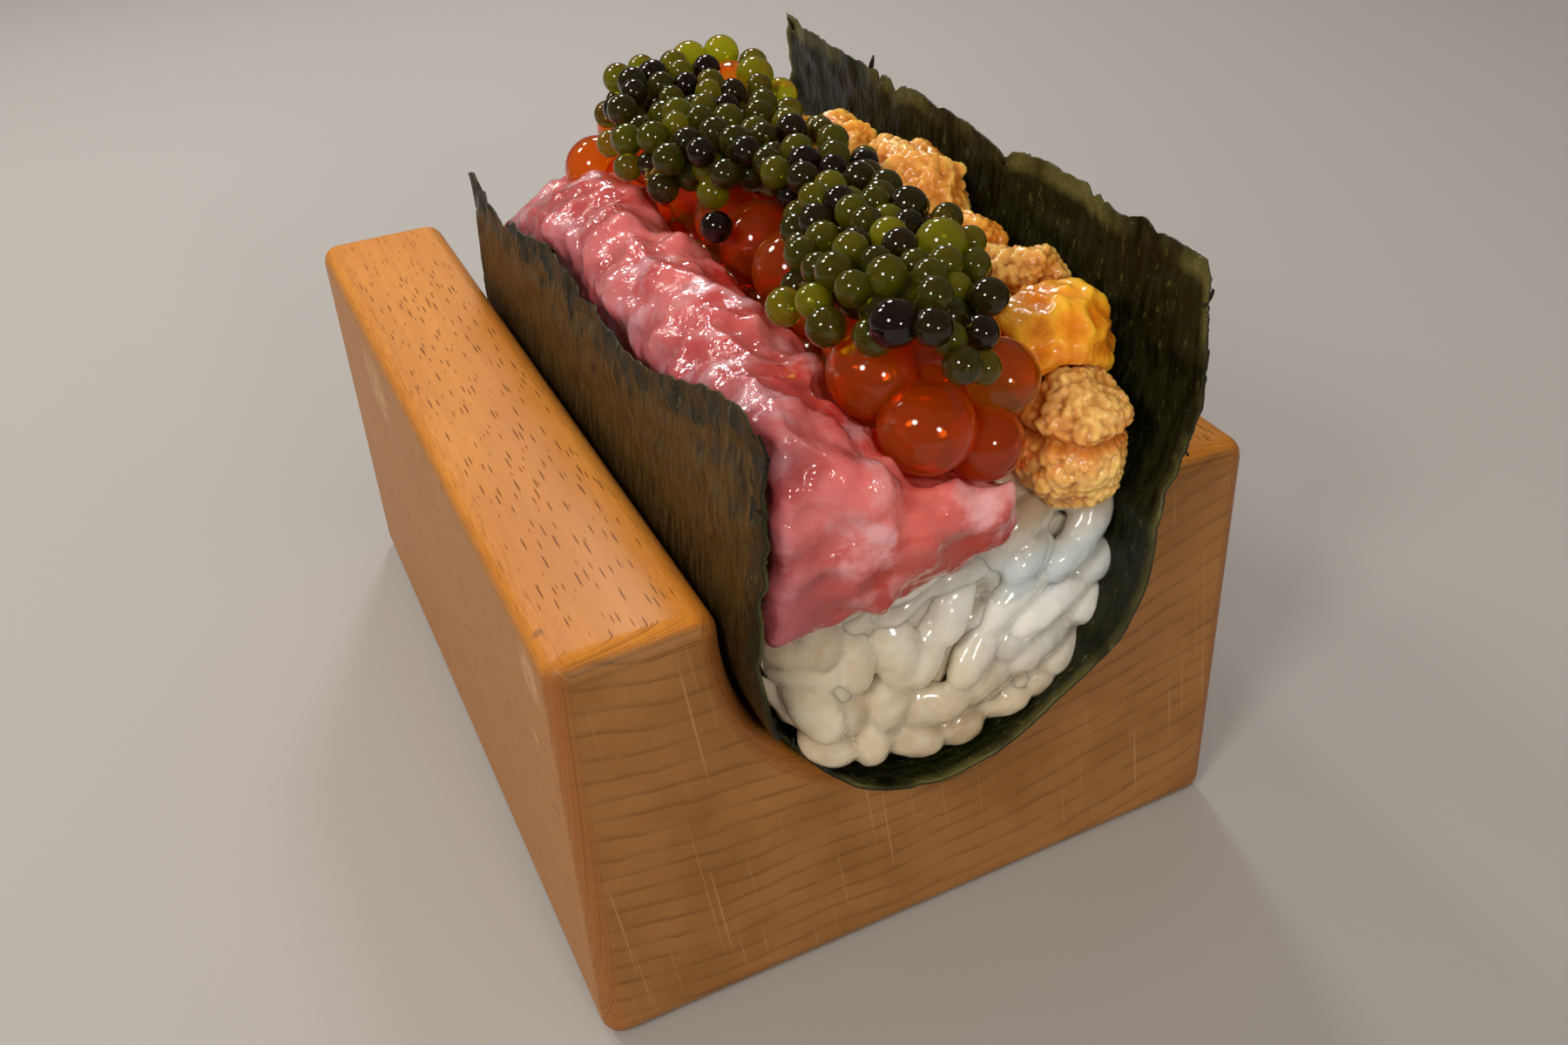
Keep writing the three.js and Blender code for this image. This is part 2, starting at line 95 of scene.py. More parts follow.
floor_mesh = bpy.data.meshes.new("floor")
half_floor = FLOOR_SIZE / 2
floor_mesh.from_pydata(
    [(-half_floor, -half_floor, 0), (half_floor, -half_floor, 0),
     (half_floor, half_floor, 0), (-half_floor, half_floor, 0)], [], [(0, 1, 2, 3)])
floor = new_object("floor", floor_mesh)
floor_material = bpy.data.materials.new("floor")
floor_material.use_nodes = True
floor_surface = floor_material.node_tree.nodes["Principled BSDF"]
floor_surface.inputs["Base Color"].default_value = FLOOR_COLOUR
floor_surface.inputs["Roughness"].default_value = 0.7
floor_mesh.materials.append(floor_material)
print("floor in metres:", FLOOR_SIZE, "x", FLOOR_SIZE)

# %% Set the lights
# Each light: the direction it comes from, its distance and size in mm, its power in watts and its
# colour.
LIGHTS = {
    "spark_left": ((-0.46, 0.59, 0.65), 420, 88, 0.52, (1.0, 0.94, 0.86)),
    "spark_middle": ((-0.16, 0.72, 0.68), 440, 60, 0.26, (1.0, 0.96, 0.90)),
    "spark_right": ((0.24, 0.75, 0.62), 460, 84, 0.50, (0.94, 0.96, 1.0)),
    "spark_near": ((-0.66, -0.44, 0.60), 480, 104, 0.72, (1.0, 0.96, 0.90)),
    "spark_front": ((0.02, -0.93, 0.34), 460, 76, 0.38, (1.0, 0.96, 0.92)),
    "front_wide": ((-0.1, -0.8, 0.75), 900, 1600, 4.0, (1.0, 0.84, 0.66)),
    "left_wide": ((-1.0, -0.1, 0.4), 800, 900, 0.8, (1.0, 0.82, 0.64)),
    "back_wide": ((0.4, 1.0, 0.5), 900, 1400, 1.6, (1.0, 0.90, 0.78)),
}
LIGHT_TARGET = Vector((0, -10, 40)) * MM
LARGEST_MIRRORED = 500                    # mm; larger lights aren't seen in reflections
SKY_COLOUR = (0.96, 0.85, 0.72, 1)
SKY_STRENGTH = 0.14

def add_light(name, direction, distance, size, power, colour):
    lamp = new_object(name, bpy.data.lights.new(name, "AREA"))
    lamp.data.shape = "DISK"
    lamp.data.size = size * MM
    lamp.data.energy = power
    lamp.data.color = colour
    lamp.visible_glossy = size < LARGEST_MIRRORED
    lamp.location = LIGHT_TARGET + Vector(direction).normalized() * distance * MM
    lamp.rotation_euler = (LIGHT_TARGET - lamp.location).to_track_quat("-Z", "Y").to_euler()

for light_name, light_values in LIGHTS.items():
    add_light(light_name, *light_values)
studio = bpy.data.worlds.new("studio")
studio.use_nodes = True
sky = studio.node_tree.nodes["Background"]
sky.inputs["Color"].default_value = SKY_COLOUR
sky.inputs["Strength"].default_value = SKY_STRENGTH
bpy.context.scene.world = studio
bpy.context.scene.view_settings.view_transform = "Standard"
print("lights:", len(LIGHTS))

# %% [markdown]
# ## Tools for materials
# A material is a small network of nodes. One helper adds a node and fills its sockets, and the
# others are short names for what the materials do again and again: sums, blends, ramps, and masks
# from 0 to 1. Places are counted in millimetres from the object's origin, so that every size in a
# material is a real size.

# %% Node helpers
def add(tree, kind, sockets=None, **settings):
    """Adds a node. sockets maps a socket's name or number to a value or to another socket."""
    node = tree.nodes.new(kind)
    for key, value in settings.items():
        setattr(node, key, value)
    for key, value in (sockets or {}).items():
        if isinstance(value, bpy.types.NodeSocket):
            tree.links.new(value, node.inputs[key])
        else:
            node.inputs[key].default_value = value
    return node

def calculate(tree, operation, a, b=0.0):
    return add(tree, "ShaderNodeMath", {0: a, 1: b}, operation=operation).outputs[0]

def vector_math(tree, operation, a, b=(0, 0, 0)):
    node = add(tree, "ShaderNodeVectorMath", {0: a, 1: b}, operation=operation)
    return node.outputs["Value" if operation == "LENGTH" else 0]

def split(tree, vector):
    return add(tree, "ShaderNodeSeparateXYZ", {0: vector}).outputs

def painted(tree, name):
    """A value that the mesh carries at each of its points."""
    return add(tree, "ShaderNodeAttribute", attribute_name=name).outputs["Fac"]

def fade(tree, value, start=0.0, end=1.0, bottom=0.0, top=1.0, soft=False):
    """Rises from bottom to top while the value goes from start to end. soft eases it in and out."""
    return add(tree, "ShaderNodeMapRange", {
        "Value": value, "From Min": start, "From Max": end, "To Min": bottom, "To Max": top},
        interpolation_type="SMOOTHSTEP" if soft else "LINEAR").outputs[0]

def colour_mix(tree, factor, a, b):
    """Blends two colours. Each is a socket, or three numbers."""
    FACTOR, A, B, RESULT = 0, 6, 7, 2
    a, b = [end if isinstance(end, bpy.types.NodeSocket) else (*end, 1) for end in (a, b)]
    return add(tree, "ShaderNodeMix", {FACTOR: factor, A: a, B: b}, data_type="RGBA").outputs[RESULT]

def stain(tree, colour, mask, strength, shade):
    """Blends a shade into a colour by a mask from 0 to 1, at most as far as strength."""
    return colour_mix(tree, calculate(tree, "MULTIPLY", mask, strength), colour, shade)

def shade_along(tree, colour, value, start, end, strength, shade):
    """Stains a colour more and more, up to strength, while a value goes from start to end."""
    return colour_mix(tree, fade(tree, value, start, end, top=strength), colour, shade)

def colour_ramp(tree, factor, stops):
    """A colour for each value between 0 and 1, from stops of a position and three numbers."""
    node = add(tree, "ShaderNodeValToRGB", {"Fac": factor})
    elements = node.color_ramp.elements
    while len(elements) < len(stops):
        elements.new(0.5)
    for element, (position, colour) in zip(elements, stops):
        element.position = position
        element.color = (*colour, 1)
    return node.outputs["Color"]

def start_material(name, **sockets):
    """A new material, its Principled shader with constant sockets set, and its place in mm."""
    material = bpy.data.materials.new(name)
    material.use_nodes = True
    tree = material.node_tree
    surface = tree.nodes["Principled BSDF"]
    for key, value in sockets.items():
        surface.inputs[key.replace("_", " ")].default_value = value
    where = add(tree, "ShaderNodeTexCoord").outputs["Object"]
    place = add(tree, "ShaderNodeVectorMath", {0: where, "Scale": 1 / MM}, operation="SCALE")
    return material, tree, surface, place.outputs[0]

def connect(tree, surface, **results):
    """Links each result to the shader's socket of that name."""
    for key, result in results.items():
        tree.links.new(result, surface.inputs[key.replace("_", " ")])

# %% [markdown]
# ## Shared effects
# Wood, seaweed, fish and rice all need patches of a second tone and a fine relief. Each effect is
# built once as a node group with named inputs, and every material places it with its own values.

# %% Build the node groups
def start_group(name, inputs, output, output_kind):
    """A group with one output, and an input for each name and its starting value."""
    group = bpy.data.node_groups.new(name, "ShaderNodeTree")
    for label, value in inputs.items():
        kind = "NodeSocketFloat" if isinstance(value, float) else "NodeSocketVector"
        socket = group.interface.new_socket(label, in_out="INPUT", socket_type=kind)
        if value is not None:
            socket.default_value = value
    group.interface.new_socket(output, in_out="OUTPUT", socket_type=output_kind)
    given = group.nodes.new("NodeGroupInput").outputs
    return group, given, group.nodes.new("NodeGroupOutput").inputs[output]

NOISE_INPUTS = {"Place": None, "Stretch": (1, 1, 1), "Scale": 1.0, "Detail": 3.0}

def stretched_noise(group, given):
    """Noise that is stretched by a vector, and the place it was measured at."""
    stretched = vector_math(group, "MULTIPLY", given["Place"], given["Stretch"])
    grain = add(group, "ShaderNodeTexNoise", {
        "Vector": stretched, "Scale": given["Scale"], "Detail": given["Detail"]})
    return grain.outputs[0], stretched

def build_patches():
    """Soft patches: a noise mask between two levels."""
    group, given, result = start_group("patches", {**NOISE_INPUTS, "Low": 0.4, "High": 0.6},
                                       "Mask", "NodeSocketFloat")
    grain, _ = stretched_noise(group, given)
    group.links.new(fade(group, grain, given["Low"], given["High"], soft=True), result)
    return group

def build_relief():
    """Fine relief: noise and cells as a bump in millimetres over another normal."""
    group, given, result = start_group(
        "fine_relief", {**NOISE_INPUTS, "Cells": 0.5, "Depth": 0.1, "Normal": None},
        "Normal", "NodeSocketVector")
    grain, stretched = stretched_noise(group, given)
    cell = add(group, "ShaderNodeTexVoronoi", {"Vector": stretched, "Scale": given["Scale"]},
               feature="SMOOTH_F1")
    both = add(group, "ShaderNodeMix", {0: given["Cells"], 2: grain, 3: cell.outputs["Distance"]})
    height = calculate(group, "MULTIPLY", both.outputs[0], given["Depth"])
    bump = add(group, "ShaderNodeBump", {
        "Height": height, "Distance": MM, "Strength": 1.0, "Normal": given["Normal"]})
    group.links.new(bump.outputs[0], result)
    return group

PATCHES = build_patches()
RELIEF = build_relief()

def patches(tree, place, scale, low, high, stretch=(1, 1, 1), detail=3.0):
    """A mask of soft patches: scale is patches per mm, and a low and high close together harden it."""
    return add(tree, "ShaderNodeGroup", {
        "Place": place, "Scale": scale, "Low": low, "High": high, "Stretch": stretch,
        "Detail": detail}, node_tree=PATCHES).outputs["Mask"]

def relief(tree, place, scale, depth, cells=0.5, stretch=(1, 1, 1), detail=4.0, under=None):
    """A bumped normal: depth is in mm, cells blends noise (0) with cells (1), under is a normal."""
    below = under or add(tree, "ShaderNodeNewGeometry").outputs["Normal"]
    return add(tree, "ShaderNodeGroup", {
        "Place": place, "Scale": scale, "Depth": depth, "Cells": cells, "Stretch": stretch,
        "Detail": detail, "Normal": below}, node_tree=RELIEF).outputs["Normal"]

print("node groups:", [group.name for group in bpy.data.node_groups])

# %% [markdown]
# ## Tools for meshes
# Every piece is a mesh written in millimetres, hung on the model's one body, and its solid is
# hidden. Fine soft forms start as an even, fine copy of the solid, so they keep
# its shape, and are then pushed in and out by noise. A value painted on a mesh's points, such as
# how far a point was raised, can steer a material later.

# %% Mesh helpers
def add_piece(name, mesh, material, slot, *nodes):
    mesh.materials.clear()
    mesh.materials.append(material)
    mesh.shade_smooth()
    piece = new_object(name, mesh)
    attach(piece, "root")
    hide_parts(*nodes)
    print(name, "triangles:", sum(len(face.vertices) - 2 for face in mesh.polygons))
    return piece

def mesh_from(name, points, faces):
    mesh = bpy.data.meshes.new(name)
    corners = faces if isinstance(faces, list) else faces.tolist()
    mesh.from_pydata((np.asarray(points) * MM).tolist(), [], corners)
    mesh.update()
    return mesh

def stacked(name, shapes, faces):
    """Many copies of one form as one mesh. shapes has the points of each copy, in mm."""
    count = len(shapes[0])
    corners = [faces + count * index for index in range(len(shapes))]
    return mesh_from(name, np.vstack(shapes), np.vstack(corners))

def give_value(mesh, name, values):
    """Paints one number on each point, for the materials to read by its name."""
    attribute = mesh.attributes.new(name, "FLOAT", "POINT")
    attribute.data.foreach_set("value", np.asarray(values, np.float32))

def baked(piece):
    """The piece's mesh with its modifiers applied; the piece itself is removed."""
    graph = bpy.context.evaluated_depsgraph_get()
    mesh = bpy.data.meshes.new_from_object(piece.evaluated_get(graph))
    bpy.data.objects.remove(piece)
    return mesh

def fine_copy(node, voxel, rounding):
    """An even mesh of voxel mm over a solid's form, with its facets rounded away."""
    return even_skin(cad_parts[node].data.copy(), voxel, rounding)

def even_skin(mesh, voxel, rounding):
    """One even skin of voxel mm round everything in a mesh, smoothed a few times."""
    source = new_object("even_skin", mesh)
    even = source.modifiers.new("even", "REMESH")
    even.mode = "VOXEL"
    even.voxel_size = voxel * MM
    rounder = source.modifiers.new("rounder", "SMOOTH")
    rounder.factor = 0.5
    rounder.iterations = rounding
    return baked(source)

def read_points(mesh, field="co"):
    values = np.empty(len(mesh.vertices) * 3)
    mesh.vertices.foreach_get(field, values)
    return values.reshape(-1, 3)

def push_out(mesh, height):
    """Moves each point along its normal by height(point in mm), in mm."""
    points = read_points(mesh)
    normals = read_points(mesh, "normal")
    rise = np.array([height(Vector(point)) for point in points / MM])
    mesh.vertices.foreach_set("co", (points + normals * rise[:, None] * MM).ravel())
    mesh.update()
    return rise

def ball_form(subdivisions):
    """The points and faces of a ball of radius 1, for the stacked copies."""
    form = bmesh.new()
    bmesh.ops.create_icosphere(form, subdivisions=subdivisions, radius=1.0)
    points = np.array([vertex.co for vertex in form.verts])
    faces = np.array([[vertex.index for vertex in face.verts] for face in form.faces])
    form.free()
    return points, faces

def mix(a, b, t):
    return a + (b - a) * t

def smooth(a, b, x):
    t = min(max((x - a) / (b - a), 0.0), 1.0)
    return t * t * (3 - 2 * t)

def hump(x, centre, width):
    return math.exp(-((x - centre) / width) ** 2)

def lattice_noise(x, y, z):
    """Value noise between -1 and 1, the same as in the solid model's seaweed."""
    def cell(i, j, k):
        h = math.sin(i * 127.1 + j * 311.7 + k * 74.7) * 43758.5453
        return 2 * (h - math.floor(h)) - 1
    i, j, k = math.floor(x), math.floor(y), math.floor(z)
    u, v, w = (t * t * (3 - 2 * t) for t in (x - i, y - j, z - k))
    def row(b, c):
        return mix(cell(i, j + b, k + c), cell(i + 1, j + b, k + c), u)
    return mix(mix(row(0, 0), row(1, 0), v), mix(row(0, 1), row(1, 1), v), w)

# %% [markdown]
# ## The holder
# The holder is a solid beech block, sawn, routed along its length with a round-nosed cutter and
# sanded until its edges are soft. Its outline is drawn once and drawn out to the block's length.
# A bevel then rounds every edge, and a little noise keeps the faces from being perfectly flat.

# %% Shape the holder
EDGE = 1.8                                # radius of the rounded edges
CHANNEL_HALF = 17.0
CHANNEL_DROP = 20.1
HOLDER_LOW, HOLDER_HIGH = [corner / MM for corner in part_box("holder")]
CHANNEL_CENTRE = HOLDER_HIGH.z - EDGE

def holder_mesh():
    steps = 48
    cut = [(CHANNEL_HALF * math.cos(math.pi * i / steps),
            CHANNEL_CENTRE - CHANNEL_DROP * math.sin(math.pi * i / steps)) for i in range(steps + 1)]
    low, high = HOLDER_LOW, HOLDER_HIGH
    outline = [(low.x, low.z), (high.x, low.z), (high.x, high.z), (CHANNEL_HALF, high.z),
               *cut, (-CHANNEL_HALF, high.z), (low.x, high.z)]
    form = bmesh.new()
    ring = [form.verts.new((x * MM, low.y * MM, z * MM)) for x, z in outline]
    front = form.faces.new(ring)
    drawn = bmesh.ops.extrude_face_region(form, geom=[front])
    moved = [item for item in drawn["geom"] if isinstance(item, bmesh.types.BMVert)]
    bmesh.ops.translate(form, verts=moved, vec=(0, (high.y - low.y) * MM, 0))
    bmesh.ops.recalc_face_normals(form, faces=form.faces)
    mesh = bpy.data.meshes.new("holder_block")
    form.to_mesh(mesh)
    form.free()
    block = new_object("holder_form", mesh)
    rounded = block.modifiers.new("rounded edges", "BEVEL")
    rounded.width = EDGE * MM
    rounded.segments = 6
    rounded.limit_method = "ANGLE"
    rounded.angle_limit = math.radians(40)
    rounded.harden_normals = True
    mesh.shade_smooth()
    return baked(block)

# %% [markdown]
# Beech looks different along its grain and across it. Along the grain it shows many short, thin,
# dark pores. Across the grain, on the ends, it shows its growth rings as thin wavy lines, and the
# open pores drink oil and look darker. The rings are distances from the pith, a line far above the
# block, so they agree on all sides. Use has left an oily stain, rubbed edges and faint saw
# scratches, and one small spot is darker.

# %% Mix the beech
PITH = (-3.0, 0.0, 128.0)                 # mm; the heart of the trunk runs along Y
RING_WIDTH = 2.0                          # mm between growth rings
PORES_PER_MM = (2.7, 0.20, 0.0)           # across the grain and along it
PORE_DEPTH = 0.06                         # mm
SAW_SLANT = math.radians(6.5)
# Each mark: its middle in mm, its half sizes in mm, how strong it is and its colour.
BEECH_MARKS = [
    ((-18.4, -36.0, 39.3), (2.6, 7.5, 3.0), 0.55, (0.72, 0.25, 0.02)),
    ((-28.9, -35.8, 39.0), (0.7, 0.6, 0.8), 0.8, (0.22, 0.09, 0.03)),
    ((-30.0, -35.5, 35.5), (1.5, 3.2, 3.0), 0.35, (0.86, 0.60, 0.33)),
    ((-30.0, -33.7, 28.3), (1.5, 0.9, 1.0), 0.4, (0.86, 0.60, 0.33)),
    ((-30.0, 17.0, 33.0), (1.5, 7.0, 4.5), 0.35, (0.86, 0.60, 0.33)),
]

def pore_mask(tree, place, facing):
    """Short dashes along the grain, laid flat on whichever long face looks out."""
    at = split(tree, place)
    towards = split(tree, vector_math(tree, "ABSOLUTE", facing))
    across = calculate(tree, "ADD", calculate(tree, "MULTIPLY", at["X"], towards["Z"]),
                       calculate(tree, "MULTIPLY", at["Z"], towards["X"]))
    flat = add(tree, "ShaderNodeCombineXYZ", {0: across, 1: at["Y"]})
    cells = vector_math(tree, "MULTIPLY", flat.outputs[0], PORES_PER_MM)
    dash = add(tree, "ShaderNodeTexVoronoi", {"Vector": cells, "Scale": 1.0},
               voronoi_dimensions="2D")
    own = add(tree, "ShaderNodeSeparateColor", {0: dash.outputs["Color"]}).outputs[0]
    size = fade(tree, own, bottom=-0.01, top=0.20)
    inwards = calculate(tree, "SUBTRACT", size, dash.outputs["Distance"])
    return fade(tree, inwards, -0.04, 0.08, soft=True)

def mark_mask(tree, place, middle, half, strength):
    """A soft, broken spot round a point."""
    inside = vector_math(tree, "SUBTRACT", place, middle)
    reach = vector_math(tree, "LENGTH", vector_math(tree, "DIVIDE", inside, half))
    spot = fade(tree, reach, 1.0, 0.3, top=strength, soft=True)
    broken = patches(tree, place, 0.8, 0.3, 0.62, stretch=(1.0, 0.7, 1.0))
    return calculate(tree, "MULTIPLY", spot, broken)

def growth_rings(tree, place):
    """Thin dark lines at even distances from the pith, bent by noise."""
    warp = add(tree, "ShaderNodeTexNoise", {"Vector": place, "Scale": 0.06, "Detail": 2.0})
    pull = vector_math(tree, "MULTIPLY", warp.outputs["Color"], (4.0, 0.0, 4.0))
    from_pith = vector_math(tree, "ADD", place, (-PITH[0], 0.0, -PITH[2]))
    flat = vector_math(tree, "MULTIPLY", from_pith, (1, 0.012, 1))
    radius = vector_math(tree, "LENGTH", vector_math(tree, "ADD", flat, pull))
    shiver = add(tree, "ShaderNodeTexNoise", {"Vector": place, "Scale": 0.9, "Detail": 1.0})
    wavy = calculate(tree, "ADD", radius, calculate(tree, "MULTIPLY", shiver.outputs[0], 0.3))
    year = calculate(tree, "FRACT", calculate(tree, "DIVIDE", wavy, RING_WIDTH))
    return colour_ramp(tree, year, [(0.0, (0.0, 0.0, 0.0)), (0.66, (0.10, 0.10, 0.10)),
                                    (0.88, (1.0, 1.0, 1.0)), (0.97, (0.0, 0.0, 0.0))])

def long_faces(tree, place, way, tone, ring, pores):
    """The colour along the grain: streaks, faint rings, painted shade on the upright faces, and pores
    that thin out towards the back.
    """
    # Painted shade: the upright faces are darker than the top.
    upright_shade = fade(tree, way["Z"], 0.8, 0.2, soft=True)
    streak = patches(tree, place, 0.6, 0.35, 0.65, stretch=(2.2, 0.07, 2.2))
    side = colour_mix(tree, tone, (0.60, 0.215, 0.024), (0.70, 0.280, 0.040))
    side = stain(tree, side, streak, 0.35, (0.52, 0.170, 0.018))
    side = stain(tree, side, upright_shade, 0.85, (0.38, 0.158, 0.032))
    side = stain(tree, side, ring, 0.10, (0.33, 0.13, 0.035))
    thin_out = fade(tree, split(tree, place)["Y"], 35.0, 24.0, bottom=0.1, top=0.85)
    return stain(tree, side, pores, thin_out, (0.22, 0.070, 0.014))

def end_faces(tree, place, tone, ring):
    """The colour across the grain: darker, with clear rings, worn patches and slanting scratches."""
    ends = colour_mix(tree, tone, (0.250, 0.105, 0.023), (0.315, 0.140, 0.036))
    worn = patches(tree, place, 0.16, 0.35, 0.7)
    ends = stain(tree, ends, worn, 0.4, (0.37, 0.175, 0.056))
    ring_strength = fade(tree, patches(tree, place, 0.22, 0.3, 0.7), bottom=0.15, top=0.6)
    ends = stain(tree, ends, ring, ring_strength, (0.115, 0.045, 0.014))
    slant = add(tree, "ShaderNodeVectorRotate", {"Vector": place, "Angle": SAW_SLANT},
                rotation_type="Y_AXIS")
    scratch = patches(tree, slant.outputs[0], 0.42, 0.66, 0.76, stretch=(6.0, 1.0, 0.10), detail=1.0)
    return stain(tree, ends, scratch, 0.55, (0.47, 0.25, 0.12))

def beech_material():
    material, tree, surface, place = start_material("beech", Roughness=0.45, Specular_IOR_Level=0.22,
                                                    Coat_Weight=0.05, Coat_Roughness=0.2)
    facing = add(tree, "ShaderNodeTexCoord").outputs["Normal"]
    way = split(tree, facing)
    tone = patches(tree, place, 0.05, 0.3, 0.7, stretch=(2.5, 0.5, 2.5))
    ring = growth_rings(tree, place)
    pores = pore_mask(tree, place, facing)
    end_grain = fade(tree, calculate(tree, "ABSOLUTE", way["Y"]), 0.55, 0.9, soft=True)
    colour = colour_mix(tree, end_grain, long_faces(tree, place, way, tone, ring, pores),
                        end_faces(tree, place, tone, ring))
    corner = calculate(tree, "ABSOLUTE", calculate(tree, "MULTIPLY", way["X"], way["Y"]))
    colour = shade_along(tree, colour, corner, 0.02, 0.35, 0.7, (0.30, 0.10, 0.022))
    for middle, half, strength, shade in BEECH_MARKS:
        colour = colour_mix(tree, mark_mask(tree, place, middle, half, strength), colour, shade)
    connect(tree, surface, Base_Color=colour)
    grain = relief(tree, place, 1.4, 0.04, cells=0.0, stretch=(2.0, 0.2, 2.0))
    dents = add(tree, "ShaderNodeBump", {
        "Height": calculate(tree, "MULTIPLY", pores, -PORE_DEPTH), "Distance": MM, "Normal": grain})
    connect(tree, surface, Normal=dents.outputs[0])
    return material

add_piece("holder_block", holder_mesh(), beech_material(), "beech", "holder")

# %% [markdown]
# ## The seaweed sheet
# Nori is a thin dried sheet, torn rather than cut, which softens and waves once it is filled. Its
# section runs down the left wall, round the bowl and up the right wall. The sheet follows the
# solid's middle surface at many more points, which leaves room for torn notches, a fringe of
# fibres and a few loose shreds.

# %% Shape the seaweed
SHEET = {"half": 16.35, "drop": 19.45, "front": -46.0, "back": 24.0, "left_top": 51.0,
         "right_top": 59.6, "left_lean": 0.9, "right_lean": 3.4, "lean_from": 38.6,
         "wave": 0.45, "crinkle": 0.22, "curl": 0.35, "fringe": 0.6, "thickness": 0.34}
# A place across the sheet runs from 0, the left top edge, to 1, the right one. The bowl lies between:
BOWL_START, BOWL_END = 0.3, 0.64
# Torn steps in the right and the left top edge: where along Y, how deep and how wide, in mm.
RIGHT_TEARS = [(20.0, 0.5, 1.0), (3.0, 0.9, 0.5), (0.2, 0.9, 1.3), (-18.6, 0.7, 1.2),
               (-30.6, 0.6, 0.7), (-34.5, 0.6, 3.2), (-45.6, 1.4, 0.9)]
LEFT_TEARS = [(20.6, 0.5, 0.5), (14.5, 0.5, 3.0), (-1.0, 0.6, 0.7), (-8.0, 0.6, 4.0),
              (-19.0, 0.6, 4.0), (-38.0, 0.3, 0.9), (-45.4, 1.2, 1.2)]

def sheet_lean(z, reach):
    return 1 - math.exp(min(SHEET["lean_from"] - z, 0) / reach)

def left_wall(z):
    return -SHEET["half"] + SHEET["left_lean"] * sheet_lean(z, 8)

def right_wall(z):
    return SHEET["half"] + SHEET["right_lean"] * sheet_lean(z, 6)

def sheet_top(u, y):
    """The height of the left or right top edge, before it is torn."""
    if u < 0.5:
        rise = 6.3 * smooth(-20, SHEET["front"], y)
        return (SHEET["left_top"] + rise - 2.2 * hump(y, 14, 7) - hump(y, 25, 3)
                + 0.5 * lattice_noise(y * 0.35, 2, 5))
    return (SHEET["right_top"] + 0.25 * lattice_noise(y * 0.3, 7, 1) + 1.1 * hump(y, 24, 4)
            - 0.8 * hump(y, -16, 4))

def torn_steps(y, tears):
    return sum(depth * hump(y, at, width) ** 2 for at, depth, width in tears)

def fringe(t, seed, reach):
    """A fringe of fibres at t mm along an edge, which comes and goes, with a nick here and there."""
    comes_and_goes = 0.35 + max(0.0, noise.noise((t * 0.3, seed, 0)) + 0.2)
    fibre = abs(noise.noise((t * 2.1, seed, 7))) + 0.6 * abs(noise.noise((t * 0.8, seed, 3)))
    nick = max(0.0, noise.noise((t * 0.45, seed, 13)) - 0.4)
    return reach * (fibre * comes_and_goes + 2.2 * nick)

def sheet_section(u, top):
    """The middle of the sheet at u of the way across, as x and z in mm."""
    if u < BOWL_START:
        z = mix(top, CHANNEL_CENTRE, u / BOWL_START)
        return left_wall(z), z
    if u > BOWL_END:
        z = mix(CHANNEL_CENTRE, top, (u - BOWL_END) / (1 - BOWL_END))
        return right_wall(z), z
    angle = math.pi * (u - BOWL_START) / (BOWL_END - BOWL_START)
    return -SHEET["half"] * math.cos(angle), CHANNEL_CENTRE - SHEET["drop"] * math.sin(angle)

def ragged_end(u, seed, fringe_seed):
    return 0.8 * max(0.0, noise.noise((u * 22, seed, 1))) + fringe(u * 100, fringe_seed, 0.55)

def sheet_front(u):
    """Where the sheet starts along Y, at u of the way across."""
    bowl = smooth(0.33, 0.38, u) * smooth(0.61, 0.53, u)
    return (SHEET["front"] + 3.8 * hump(u, 0.372, 0.024) + 2.7 * bowl
            + 0.4 * lattice_noise(u * 17, 3, 3) + ragged_end(u, 5, 3))

def sheet_back(u):
    return SHEET["back"] + 0.8 * lattice_noise(u * 11, 9, 2) - ragged_end(u, 15, 9)

def crowded(count, power):
    """Steps from 0 to 1 that crowd towards both ends."""
    t = np.linspace(-1, 1, count + 1)
    return 0.5 + 0.5 * np.sign(t) * (1 - (1 - np.abs(t)) ** power)

def sheet_point(u, v, side):
    """A point of the inner (-1) or outer (1) face, and how far it is from the torn edge, in mm."""
    y = mix(sheet_front(u), sheet_back(u), v)
    left = u < 0.5
    top = (sheet_top(u, y) + 0.3 - torn_steps(y, LEFT_TEARS if left else RIGHT_TEARS)
           - fringe(y, 21 if left else 27, SHEET["fringe"]))
    x, z = sheet_section(u, top)
    xa, za = sheet_section(max(u - 0.004, 0), top)
    xb, zb = sheet_section(min(u + 0.004, 1), top)
    slope = math.hypot(xb - xa, zb - za)
    nx, nz = (zb - za) / slope, (xa - xb) / slope
    in_bowl = BOWL_START < u < BOWL_END
    free = smooth(HOLDER_HIGH.z, HOLDER_HIGH.z + 8, z)
    at_edge = 0.0 if in_bowl else smooth(4.0, 0.0, top - z)
    crinkle = SHEET["crinkle"] * noise.noise((y * 0.5, z * 0.5, u * 9)) * (0.3 + free)
    curl = SHEET["curl"] * at_edge * noise.noise((y * 0.35, 3, u * 5))
    offset = (side * SHEET["thickness"] * mix(0.5, 0.25, at_edge) + crinkle + curl
              + free * SHEET["wave"] * lattice_noise(y * 0.13, z * 0.15, u * 4))
    to_top = 40.0 if in_bowl else top - z
    to_end = min(v, 1 - v) * (SHEET["back"] - SHEET["front"])
    return (x + offset * nx, y, z + offset * nz), min(to_top, to_end + 1.0)

def stitch(near, far):
    """Two triangles for each step between two rows of point numbers."""
    steps = zip(near, near[1:], far[1:], far)
    return [face for a, b, c, d in steps for face in ((a, b, c), (a, c, d))]

